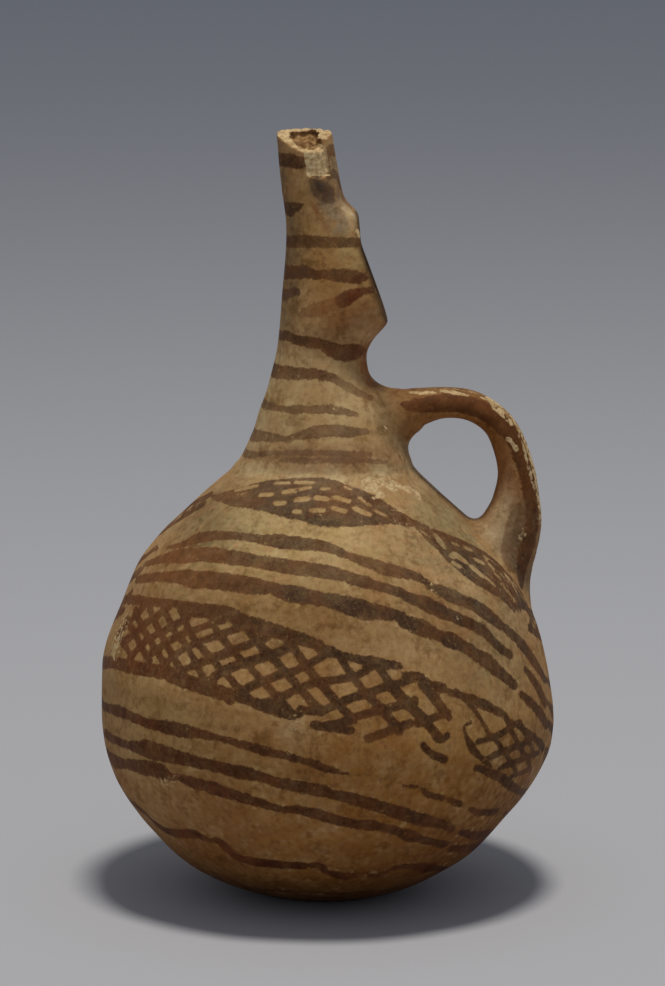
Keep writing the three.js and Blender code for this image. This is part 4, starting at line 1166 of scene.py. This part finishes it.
def pressed(form, points, strokes, turns=2):
    """For each point, mm inside the strokes' edges and the load of paint there, from strokes settled on the skin."""
    value = np.full(len(points), -EDGE_REACH)
    load = np.ones(len(points))
    for places, half, amount in strokes:
        load[press(points, settle(form, places, turns), half, value)] = amount
    return value, load


def lay_marks(skin, look):
    """What each point of the skin carries for the shaders: ink and bare clay as distances in mm inside their edges."""
    form = skin.form
    points = skin.points
    ring = form.ring(points)
    handle = form.handle(points)
    bearing = form.bearing(points)
    z = points[:, 2]
    inside = np.clip(-(ring + INNER_FROM) / INNER_FADE, 0, 1) * (handle > INNER_CLEAR)
    on_handle = np.clip((ring - handle) / HANDLE_FADE, 0, 1)

    ink, load = pressed(form, points, all_strokes(form))
    cells = pressed(form, points, [(*stroke_places(form, rows), 1.0) for rows in LIGHT_CELLS])[0]
    ink = np.minimum(ink, -cells)
    # the finer the drawing, the calmer its edges
    lines = [stroke_places(form, rows) for rows in BELLY_HATCH]
    hatch = pressed(form, points, [(places, np.ones_like(half), 1.0) for places, half in lines], 0)[0]
    calm = CELL_CALM * np.clip(cells + CELL_REACH, 0, 1), HATCH_CALM * np.clip(hatch + HATCH_REACH, 0, 1)
    stray = 1 - np.maximum(*calm)

    bare = np.full(len(points), -EDGE_REACH)
    ragged = 1 + SPALL_RAGGED * Waves(31, 1.6, 6, 24)(points)
    for at, height, radius in BARE_SPOTS:
        centre = settle(form, form.skin_point(np.array([at]), np.array([height])), 3)
        bare = np.maximum(bare, radius * ragged - np.linalg.norm(points - centre, axis=1))
    flakes = [handle_places(form, rows) for rows in HANDLE_FLAKES]
    flakes = pressed(form, points, [(places, FLAKE_SPREAD * half, 1.0) for places, half in flakes])[0]
    bare = np.maximum(bare, np.minimum(flakes, FLAKE_CAP))
    scar = read_rows(FLAKE_ROWS, bearing)
    scarred = np.minimum((z - FLAKE_FOOT) / 0.5, scar * 12 - 1)
    bare = np.where((scar > 0.05) & (z > FLAKE_FOOT), np.maximum(bare, scarred), bare)
    broken = (z > ROUGH_LOW) & (np.abs(skin.normals[:, 2]) > ROUGH_FACING)
    bare = np.where(broken, np.maximum(bare, 1.5), bare)
    soil = np.clip((-form.ring(points, SOIL_INSET) + 0.2) / 0.4, 0, 1) * (z > SOIL_FOOT) * (z < SOIL_TOP + 2)

    rubbed = np.zeros(len(points))
    for at, height, spread, tall, strength in RUBBED_PATCHES:
        patch = soft_patch(round_from(bearing, at), z - height, spread, tall)
        rubbed = np.maximum(rubbed, strength * patch)
    near, along, turn = handle_spots(form, points)
    worn = np.zeros(len(points))
    worn[near] = read_rows(HANDLE_WEAR, along) * np.clip((WEAR_TURN - turn) / WEAR_FADE, 0, 1)
    share, at, spread, wide, strength = WORN_PATCH
    worn[near] = np.maximum(worn[near], strength * soft_patch(along - share, turn - at, spread, wide))
    rubbed = rubbed * (1 - on_handle) + worn * on_handle
    # the cut's edge, darkened with painted shade
    gap = np.interp(z, form.cut_heights, form.cut) - points[:, 0]
    lip = LIP_SHARE * np.exp(-((gap / LIP_WIDTH) ** 2)) * (z > LIP_LOW) * (z < LIP_HIGH) * (ring > -LIP_DEPTH)
    crumbs = np.clip(0.35 + 0.5 * Waves(43, 0.8, 2.2, 24)(points), 0, 1)

    ground = patched(form, points, GROUND_PATCHES, look.slip)
    lay_over(ground, 0.9 * on_handle, look.handle_clay)
    for share, at, spread, wide, tint, strength in HANDLE_PATCHES:
        patch = np.zeros(len(points))
        patch[near] = strength * soft_patch(along - share, turn - at, spread, wide)
        lay_over(ground, patch * np.clip((ring - handle + 3) / 4, 0, 1), linear(tint))
    over = (
        (WORN_CLAY, 0.35 * worn * on_handle), (INNER_CLAY, inside), (LIP_PAINTED_SHADE, lip), (SOIL, soil),
        (WORN_CLAY, soil * crumbs * 0.8),
    )
    for tint, share in over:
        lay_over(ground, share, linear(tint))
    ink_tint = patched(form, points, INK_PATCHES, look.paint)
    lay_over(ink_tint, on_handle, linear(HANDLE_INK))
    return {
        "ink": np.where(inside > 0.5, -EDGE_REACH, np.clip(ink, -EDGE_REACH, EDGE_REACH)),
        "load": load,
        "rubbed": rubbed,
        "stray": stray,
        "bare": np.where(soil > 0.5, -EDGE_REACH, np.clip(bare, -EDGE_REACH, EDGE_REACH)),
        "ground": ground,
        "ink_tint": ink_tint,
    }


def handle_spots(form, points):
    """Which points lie on the handle, with the per cent along it and the turn about it, the same on both sides."""
    near = np.where(in_box(points, HANDLE_PAINT_BOX))[0]
    part = points[near]
    which, off = form.off_line(part)
    across = (off * form.across[which]).sum(1) / form.thick[which]
    turn = np.degrees(np.arctan2(-np.abs(part[:, 1]) / form.wide[which], across)) % 360
    return near, which / (len(form.line) - 1) * 100, turn


# ---- finishes


def linear(tint):
    """A colour given as sRGB hex, turned to linear."""
    parts = [int(tint[k : k + 2], 16) / 255 for k in (1, 3, 5)]
    return tuple(p / 12.92 if p <= 0.04045 else ((p + 0.055) / 1.055) ** 2.4 for p in parts)


def hexed(tint):
    """The same for a colour socket, which has a fourth value."""
    return (*linear(tint), 1.0)


def per(length):
    """The scale that gives a pattern a length in millimetres, in object coordinates in metres."""
    return 1 / (length * MM)


def put(tree, kind, inputs=(), **settings):
    """Adds a node with its settings, and with its inputs set, or linked to a node's first output in use."""
    node = tree.nodes.new("ShaderNode" + kind)
    for name, value in settings.items():
        setattr(node, name, value)
    for name, value in dict(inputs).items():
        if isinstance(value, bpy.types.Node):
            value = next(output for output in value.outputs if output.enabled)
        if isinstance(value, bpy.types.NodeSocket):
            tree.links.new(value, node.inputs[name])
        else:
            node.inputs[name].default_value = value
    return node


def new_finish(name):
    """An empty material and its node tree."""
    finish = bpy.data.materials.new(name)
    finish.use_nodes = True
    finish.node_tree.nodes.clear()
    return finish, finish.node_tree


# Uneven patterns of the slip and the clay: length in mm, detail, roughness
POTTERY_NOISE = {
    "broad": (34, 2, 0.5), "cloud": (7.5, 4, 0.6), "fine": (1.5, 3, 0.65), "edge": (1.15, 4, 0.7),
    "drift": (3.6, 3, 0.55), "fleck": (1.15, 3, 0.7), "shed": (2.6, 4, 0.6), "stain": (6, 5, 0.65),
    "speckle": (0.8, 3, 0.7), "pool": (8, 3, 0.6), "rub": (9, 3, 0.6), "dry": (4.2, 4, 0.65), "brush": (3.1, 3, 0.55),
    "spall": (2.2, 4, 0.65), "crumb": (1.1, 4, 0.7), "peel": (2.4, 4, 0.6), "grit": (0.9, 3, 0.7),
    "ridge": (1.4, 4, 0.75), "palm": (12, 3, 0.5), "wipe": (1.6, 3, 0.6),
}
# The same read between a low and a high mark, and given between two shares
POTTERY_SHARES = {
    "broad": (0.35, 0.68, 0, 0.4), "cloud": (0.38, 0.66, 0, 0.34), "fine": (0.35, 0.7, 0, 0.3),
    "wipe": (0.45, 0.72, 0, 0.1), "stain": (0.5, 0.68, 0, 0.42), "speckle": (0.4, 0.64, 0.87, 1),
    "fleck": (0.6, 0.68, 0, 1), "rub": (0.52, 0.72, 0, 1), "shed": (0.58, 0.68, 0, 0.7),
    "pool": (0.42, 0.62, 0, 0.36), "dry": (0.32, 0.58, 0.84, 1), "brush": (0.3, 0.7, 0, 0.62),
    "crumb": (0.3, 0.72, 0, 1), "palm": (0.35, 0.7, 0.66, 0.8),
}


def painted_pottery(look):
    """Hand-built buff earthenware, slipped, brushed with brown iron-clay paint and lightly rubbed before firing.

    To the eye it is matt with a faint dry sheen: blotchy, stained slip over gritty clay, paint that thins at the edge
    of each stroke and has flaked to the slip in flecks, and horizontal marks of the wiping hand.
    """
    finish, t = new_finish("painted_pottery")
    ink, load, stray, bare, rubbed = (
        put(t, "Attribute", attribute_name=name).outputs["Fac"] for name in ("ink", "load", "stray", "bare", "rubbed")
    )
    ground, ink_tint = (put(t, "Attribute", attribute_name=name).outputs["Color"] for name in ("ground", "ink_tint"))
    here = put(t, "TexCoord").outputs["Object"]
    # the wiping hand goes round the pot, so its marks are twenty times longer than they are high
    wiped = put(t, "Mapping", {"Vector": here, "Scale": (0.05, 0.05, 1)})
    noise = {
        name: put(
            t,
            "TexNoise",
            {"Vector": wiped if name == "wipe" else here, "Scale": per(length), "Detail": detail, "Roughness": rough},
        )
        for name, (length, detail, rough) in POTTERY_NOISE.items()
    }
    share = {
        name: put(
            t,
            "MapRange",
            {"Value": noise[name], "From Min": low, "From Max": high, "To Min": least, "To Max": most},
            interpolation_type="SMOOTHSTEP",
        )
        for name, (low, high, least, most) in POTTERY_SHARES.items()
    }

    # slip: blotches as broad as a palm, cloudy patches, fine grain and wipe marks
    slip = ground
    for name, tint in (
        ("broad", "#C29C6C"), ("cloud", "#CFA972"), ("fine", "#957048"), ("wipe", "#AB8557"), ("stain", "#9A8052"),
    ):
        slip = put(t, "Mix", {0: share[name], 6: slip, 7: hexed(tint)}, data_type="RGBA", blend_type="MULTIPLY")
    # grit: dark grains of 0.3 to 0.6 mm and open pits of the same size, a few to the square centimetre
    specks = []
    for spacing, low, most in ((3.4, 0.62, 0.11), (4.6, 0.7, 0.08)):
        cell = put(t, "TexVoronoi", {"Vector": here, "Scale": per(spacing), "Randomness": 1})
        kind = put(t, "SeparateColor", {0: cell.outputs["Color"]})
        size = put(t, "MapRange", {"Value": kind, "From Min": low, "From Max": 1, "To Min": -0.05, "To Max": most})
        inner = put(t, "Math", {0: size, 1: cell.outputs["Distance"]}, operation="SUBTRACT")
        specks.append(
            put(t, "MapRange", {"Value": inner, "From Min": -0.03, "From Max": 0.05}, interpolation_type="SMOOTHSTEP")
        )
    grain, pit = specks
    seen = put(t, "Math", {0: grain, 1: 0.5}, operation="MULTIPLY")
    slip = put(t, "Mix", {0: seen, 6: slip, 7: hexed("#5C432C")}, data_type="RGBA")

    # paint: ragged at its edge, thin where the brush ran dry, flaked off in flecks
    edge = put(t, "Math", {0: noise["edge"], 1: look.ragged, 2: -0.5 * look.ragged}, operation="MULTIPLY_ADD")
    drift = put(t, "Math", {0: noise["drift"], 1: 1.2, 2: -0.6}, operation="MULTIPLY_ADD")
    edge = put(t, "Math", {0: edge, 1: drift}, operation="ADD")
    edge = put(t, "Math", {0: edge, 1: stray}, operation="MULTIPLY")
    depth = put(t, "Math", {0: ink, 1: edge}, operation="ADD")
    cover = put(t, "MapRange", {"Value": depth, "From Min": -0.2, "From Max": 0.26}, interpolation_type="SMOOTHSTEP")
    worn = put(t, "Math", {0: share["rub"], 1: look.wear, 2: 0.25}, operation="MULTIPLY_ADD")
    worn = put(t, "Math", {0: share["fleck"], 1: worn}, operation="MULTIPLY")
    left = put(t, "Math", {0: 0.96, 1: worn}, operation="SUBTRACT", use_clamp=True)
    # crumbs of paint gone where hands and soil rubbed it most, down to paler slip
    lost = put(t, "Math", {0: share["rub"], 1: 0.2, 2: noise["crumb"]}, operation="MULTIPLY_ADD")
    lost = put(t, "Math", {0: rubbed, 1: 0.38, 2: lost}, operation="MULTIPLY_ADD")
    lost = put(t, "MapRange", {"Value": lost, "From Min": 0.80, "From Max": 0.88}, interpolation_type="SMOOTHSTEP")
    stays = put(t, "Math", {0: 1, 1: lost}, operation="SUBTRACT")
    density = cover
    for part in (share["dry"], share["speckle"], load, left, stays):
        density = put(t, "Math", {0: density, 1: part}, operation="MULTIPLY")
    # flecks of clean slip along the strokes' edges, where the paint came away with the dirt
    beside = put(t, "MapRange", {"Value": depth, "From Min": -1.8, "From Max": -0.4}, interpolation_type="SMOOTHSTEP")
    beside = put(t, "Math", {0: beside, 1: share["shed"]}, operation="MULTIPLY")
    beside = put(t, "Math", {0: lost, 1: 0.25, 2: beside}, operation="MULTIPLY_ADD", use_clamp=True)
    slip = put(t, "Mix", {0: beside, 6: slip, 7: hexed("#85704C")}, data_type="RGBA", blend_type="SCREEN")
    crumbs = put(t, "Math", {0: lost, 1: rubbed}, operation="MULTIPLY")
    slip = put(t, "Mix", {0: crumbs, 6: slip, 7: hexed("#E4CC9A")}, data_type="RGBA")
    # the iron in the paint burns red-brown where it lies thin
    thin = put(t, "MapRange", {"Value": depth, "From Min": 0.1, "From Max": 0.8, "To Min": 0.16, "To Max": 0})
    thin = put(t, "Math", {0: thin, 1: share["pool"]}, operation="ADD")
    paint = put(t, "Mix", {0: thin, 6: ink_tint, 7: hexed("#865029")}, data_type="RGBA")
    paint = put(t, "Mix", {0: share["brush"], 6: paint, 7: hexed("#B09678")}, data_type="RGBA", blend_type="MULTIPLY")
    colour = put(t, "Mix", {0: density, 6: slip, 7: paint}, data_type="RGBA")

    # spalls, flakes and the broken end: rough clay under the slip
    raw = put(t, "Math", {0: noise["spall"], 1: 4, 2: -2}, operation="MULTIPLY_ADD")
    raw = put(t, "Math", {0: bare, 1: raw}, operation="ADD")
    raw = put(t, "MapRange", {"Value": raw, "From Min": -0.1, "From Max": 0.15}, interpolation_type="SMOOTHSTEP")
    clay = put(t, "Mix", {0: share["crumb"], 6: (*look.raw_clay, 1.0), 7: hexed("#AC895E")}, data_type="RGBA")
    colour = put(t, "Mix", {0: raw, 6: colour, 7: clay}, data_type="RGBA")
    seen = put(t, "Math", {0: pit, 1: 0.4}, operation="MULTIPLY")
    colour = put(t, "Mix", {0: seen, 6: colour, 7: hexed("#3E2C1C")}, data_type="RGBA")

    # relief in shares of 0.5 mm: the hand-smoothed clay, wipe marks, grit, pits, the paint's body and the spalls
    crumbled = put(t, "Math", {0: noise["ridge"], 1: 0.45, 2: -0.5}, operation="MULTIPLY_ADD")
    relief = put(t, "Math", {0: noise["peel"], 1: 0.30}, operation="MULTIPLY")
    for part, weight in (
        (noise["wipe"], 0.16), (noise["grit"], 0.14), (grain, 0.08), (pit, -0.30), (density, 0.06), (raw, crumbled),
    ):
        relief = put(t, "Math", {0: part, 1: weight, 2: relief}, operation="MULTIPLY_ADD")
    # a slope that faces the floor keeps less of it, or its bumps would catch a light from above that can't reach them
    down = put(t, "SeparateXYZ", {0: put(t, "TexCoord").outputs["Normal"]}).outputs["Z"]
    fade = {"Value": down, "From Min": -0.75, "From Max": 0.0, "To Min": 0.25 * look.relief, "To Max": look.relief}
    down = put(t, "MapRange", fade)
    bump = put(t, "Bump", {"Height": relief, "Distance": 0.5 * MM, "Strength": down})
    dull = share["palm"]
    for part, weight in ((density, -0.06), (raw, 0.12)):
        dull = put(t, "Math", {0: part, 1: weight, 2: dull}, operation="MULTIPLY_ADD")
    surface = {"Base Color": colour, "Roughness": dull, "IOR": 1.5, "Specular IOR Level": 0.12, "Normal": bump}
    shader = put(t, "BsdfPrincipled", surface)
    put(t, "OutputMaterial", {"Surface": shader})
    return finish


def bare_earthenware():
    """Unslipped earthenware of the coil inside the belly, pressed by finger: matt, gritty, uneven brown."""
    finish, t = new_finish("bare_earthenware")
    here = put(t, "TexCoord").outputs["Object"]
    blotch = put(t, "TexNoise", {"Vector": here, "Scale": per(9), "Detail": 4})
    grit = put(t, "TexNoise", {"Vector": here, "Scale": per(0.9), "Detail": 3, "Roughness": 0.7})
    colour = put(t, "Mix", {0: blotch, 6: hexed("#A37650"), 7: hexed("#7C563A")}, data_type="RGBA")
    colour = put(t, "Mix", {0: grit, 6: colour, 7: hexed("#5E432D")}, data_type="RGBA", blend_type="SOFT_LIGHT")
    bump = put(t, "Bump", {"Height": grit, "Distance": 0.4 * MM, "Strength": 0.7})
    dull = put(t, "MapRange", {"Value": blotch, "To Min": 0.78, "To Max": 0.92})
    surface = {"Base Color": colour, "Roughness": dull, "Specular IOR Level": 0.25, "Normal": bump}
    shader = put(t, "BsdfPrincipled", surface)
    put(t, "OutputMaterial", {"Surface": shader})
    return finish


def matt_paper(tint):
    """Matt seamless paper, rolled: an even pale tone with no grain that shows."""
    finish, t = new_finish("matt_paper")
    shader = put(t, "BsdfPrincipled", {"Base Color": (*tint, 1.0), "Roughness": 0.9, "Specular IOR Level": 0.1})
    put(t, "OutputMaterial", {"Surface": shader})
    return finish


# ---- the add-on: settings, one operator for each group of pieces, and a panel


class JugShape(bpy.types.PropertyGroup):
    """Sizes of the clay, in mm as in the tables"""

    grain: FloatProperty(name="Grain", description="Size of the mesh's faces in mm", default=0.8, min=0.5, max=3)
    wobble: FloatProperty(
        name="Wobble", description="Slow unevenness of the hand-built wall in mm",
        default=0.3, min=0, max=1,
    )
    dents: FloatProperty(name="Dents", description="Finger-wide unevenness in mm", default=0.06, min=0, max=0.5)
    luting: FloatProperty(
        name="Luting", description="How wide the clay is smoothed round the handle's roots, in mm",
        default=5, min=1, max=9,
    )
    rim: FloatProperty(name="Rim", description="Roundness of the lip's edge in mm", default=1, min=0.3, max=2)
    wall: FloatProperty(name="Wall", description="Thickness of the body's wall in mm", default=4.2, min=2, max=8)
    floor: FloatProperty(name="Floor", description="Thickness of the body's floor in mm", default=6.5, min=3, max=12)


class JugLook(bpy.types.PropertyGroup):
    """Colours and wear of the slip, the paint and the clay"""

    slip: FloatVectorProperty(
        name="Slip", description="Colour of the slip, under its own patches",
        subtype="COLOR", size=3, default=linear(SHOULDER_CLAY),
    )
    paint: FloatVectorProperty(
        name="Paint", description="Colour of the brushed paint, under its own patches",
        subtype="COLOR", size=3, default=linear(INK),
    )
    handle_clay: FloatVectorProperty(
        name="Handle", description="Colour of the handle's clay",
        subtype="COLOR", size=3, default=linear(HANDLE_CLAY),
    )
    raw_clay: FloatVectorProperty(
        name="Broken clay", description="Colour of clay in spalls and at the broken end",
        subtype="COLOR", size=3, default=linear(RAW_CLAY),
    )
    ragged: FloatProperty(
        name="Ragged edge", description="How far the paint's edge strays from side to side, in mm",
        default=1.7, min=0, max=4,
    )
    wear: FloatProperty(
        name="Wear", description="How much of the paint has flaked off",
        default=0.75, min=0, max=1, subtype="FACTOR",
    )
    relief: FloatProperty(
        name="Relief", description="Strength of the clay's fine relief",
        default=0.55, min=0, max=1, subtype="FACTOR",
    )


class JugStage(bpy.types.PropertyGroup):
    """The floor, the light and the camera"""

    floor_tint: FloatVectorProperty(
        name="Floor", description="Colour of the floor",
        subtype="COLOR", size=3, default=linear("#C6CAD2"),
    )
    air_tint: FloatVectorProperty(
        name="Air", description="Colour of the light from all round",
        subtype="COLOR", size=3, default=linear("#C4C8D0"),
    )
    air: FloatProperty(
        name="Air light", description="Strength of the light from all round",
        default=0.34, min=0, max=3,
    )
    lamp: FloatProperty(
        name="Lamp", description="Power of the soft lamp overhead in watts",
        default=13.3, min=0, max=200, subtype="POWER",
    )
    lamp_size: FloatProperty(
        name="Lamp size", description="Width of the lamp overhead",
        default=0.3, min=0.01, max=3, subtype="DISTANCE",
    )
    height: FloatProperty(
        name="Camera angle", description="How far the camera looks down",
        default=math.radians(11), subtype="ANGLE",
    )
    distance: FloatProperty(
        name="Camera distance", description="From the camera to the jug's middle",
        default=1.2, subtype="DISTANCE",
    )


# The skin and its finish, kept for the operators after the first
KEPT = {}


def the_skin():
    """The jug's skin, worked out once for all its pieces."""
    if "skin" not in KEPT:
        KEPT["skin"] = Skin(bpy.context.scene.jug_shape, bpy.context.scene.jug_look)
        KEPT["paint"] = painted_pottery(bpy.context.scene.jug_look)
    return KEPT["skin"]


def add_piece(name, label, *nodes):
    """Builds a piece of the skin, finishes it and puts it in the place of its CAD nodes."""
    piece = the_skin().build(name, label)
    piece.data.materials.append(KEPT["paint"])
    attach(piece, "root")
    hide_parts(*nodes)


class JUG_OT_body(bpy.types.Operator):
    """Builds the body's two halves, joined at the belly"""

    bl_idname = "jug.body"
    bl_label = "Body"

    def execute(self, context):
        add_piece("body_bowl", "lower_body", "base_bowl")
        add_piece("body_shoulder", "upper_body", "shoulder_dome")
        return {"FINISHED"}


class JUG_OT_neck(bpy.types.Operator):
    """Builds the neck with its smoothed-in foot"""

    bl_idname = "jug.neck"
    bl_label = "Neck"

    def execute(self, context):
        add_piece("neck", "neck", "neck_tube", "neck_foot_coil")
        return {"FINISHED"}


class JUG_OT_mouth(bpy.types.Operator):
    """Builds the cutaway mouth and the beak spout on it"""

    bl_idname = "jug.mouth"
    bl_label = "Mouth and spout"

    def execute(self, context):
        add_piece("mouth", "mouth", "cutaway_mouth")
        add_piece("spout", "beak_spout", "spout_tube")
        return {"FINISHED"}


class JUG_OT_handle(bpy.types.Operator):
    """Builds the handle with its two lutings"""

    bl_idname = "jug.handle"
    bl_label = "Handle"

    def execute(self, context):
        add_piece("handle", "handle", "handle_loop", "handle_upper_luting", "handle_lower_luting")
        return {"FINISHED"}


class JUG_OT_coil(bpy.types.Operator):
    """Finishes the coil that seals the belly's seam inside"""

    bl_idname = "jug.coil"
    bl_label = "Belly seam coil"

    def execute(self, context):
        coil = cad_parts["belly_seam_coil"]
        coil.data.materials.clear()
        coil.data.materials.append(bare_earthenware())
        return {"FINISHED"}


class JUG_OT_stage(bpy.types.Operator):
    """Sets the floor, the light and the camera"""

    bl_idname = "jug.stage"
    bl_label = "Stage"

    def execute(self, context):
        scene = context.scene
        stage = scene.jug_stage
        mesh = bpy.data.meshes.new("floor")
        corners = [(x * FLOOR_REACH, y * FLOOR_REACH, 0) for x, y in ((-1, -1), (1, -1), (1, 1), (-1, 1))]
        mesh.from_pydata(corners, [], [(0, 1, 2, 3)])
        mesh.materials.append(matt_paper(stage.floor_tint))
        ground = bpy.data.objects.new("floor", mesh)
        scene.collection.objects.link(ground)

        world = bpy.data.worlds.new("studio")
        world.use_nodes = True
        air = world.node_tree.nodes["Background"]
        air.inputs["Color"].default_value = (*stage.air_tint, 1.0)
        air.inputs["Strength"].default_value = stage.air
        scene.world = world

        light = bpy.data.lights.new("soft_box", "AREA")
        light.shape = "DISK"
        light.size = stage.lamp_size
        light.energy = stage.lamp
        light.color = linear(LAMP_LIGHT)
        lamp = bpy.data.objects.new("soft_box", light)
        lamp.location = LAMP_PLACE
        lamp.rotation_euler = (-lamp.location).to_track_quat("-Z", "Y").to_euler()
        scene.collection.objects.link(lamp)

        lens = bpy.data.cameras.new("camera")
        lens.sensor_fit = "HORIZONTAL"
        lens.sensor_width = SENSOR
        lens.lens = SENSOR * FOCAL_PIXELS / PICTURE_WIDE
        lens.shift_x, lens.shift_y = (shift / PICTURE_WIDE for shift in PICTURE_SHIFT)
        lens.clip_end = 40
        camera = bpy.data.objects.new("camera", lens)
        away = Vector((0, -math.cos(stage.height), math.sin(stage.height)))
        camera.location = Vector(LOOKED_AT) + stage.distance * away
        camera.rotation_euler = (-away).to_track_quat("-Z", "Y").to_euler()
        scene.collection.objects.link(camera)
        scene.camera = camera
        scene.view_settings.view_transform = "Standard"
        return {"FINISHED"}


class JUG_PT_panel(bpy.types.Panel):
    """Lists the jug's settings and its operators"""

    bl_idname = "JUG_PT_panel"
    bl_label = "Beak-spouted jug"
    bl_space_type = "VIEW_3D"
    bl_region_type = "UI"
    bl_category = "Jug"

    def draw(self, context):
        for group in (context.scene.jug_shape, context.scene.jug_look, context.scene.jug_stage):
            for name in group.bl_rna.properties.keys():
                if name not in ("rna_type", "name"):
                    self.layout.prop(group, name)
        for operator in STEPS:
            self.layout.operator(operator.bl_idname)


GROUPS = {"jug_shape": JugShape, "jug_look": JugLook, "jug_stage": JugStage}
STEPS = (JUG_OT_body, JUG_OT_neck, JUG_OT_mouth, JUG_OT_handle, JUG_OT_coil, JUG_OT_stage)


def register():
    for kind in (*GROUPS.values(), *STEPS, JUG_PT_panel):
        bpy.utils.register_class(kind)
    for name, kind in GROUPS.items():
        setattr(bpy.types.Scene, name, PointerProperty(type=kind))


def unregister():
    for name in GROUPS:
        delattr(bpy.types.Scene, name)
    for kind in (JUG_PT_panel, *reversed(STEPS), *GROUPS.values()):
        bpy.utils.unregister_class(kind)


def main():
    register()
    bpy.ops.jug.body()
    bpy.ops.jug.neck()
    bpy.ops.jug.mouth()
    bpy.ops.jug.handle()
    bpy.ops.jug.coil()
    bpy.ops.jug.stage()


if __name__ == "__main__":
    main()
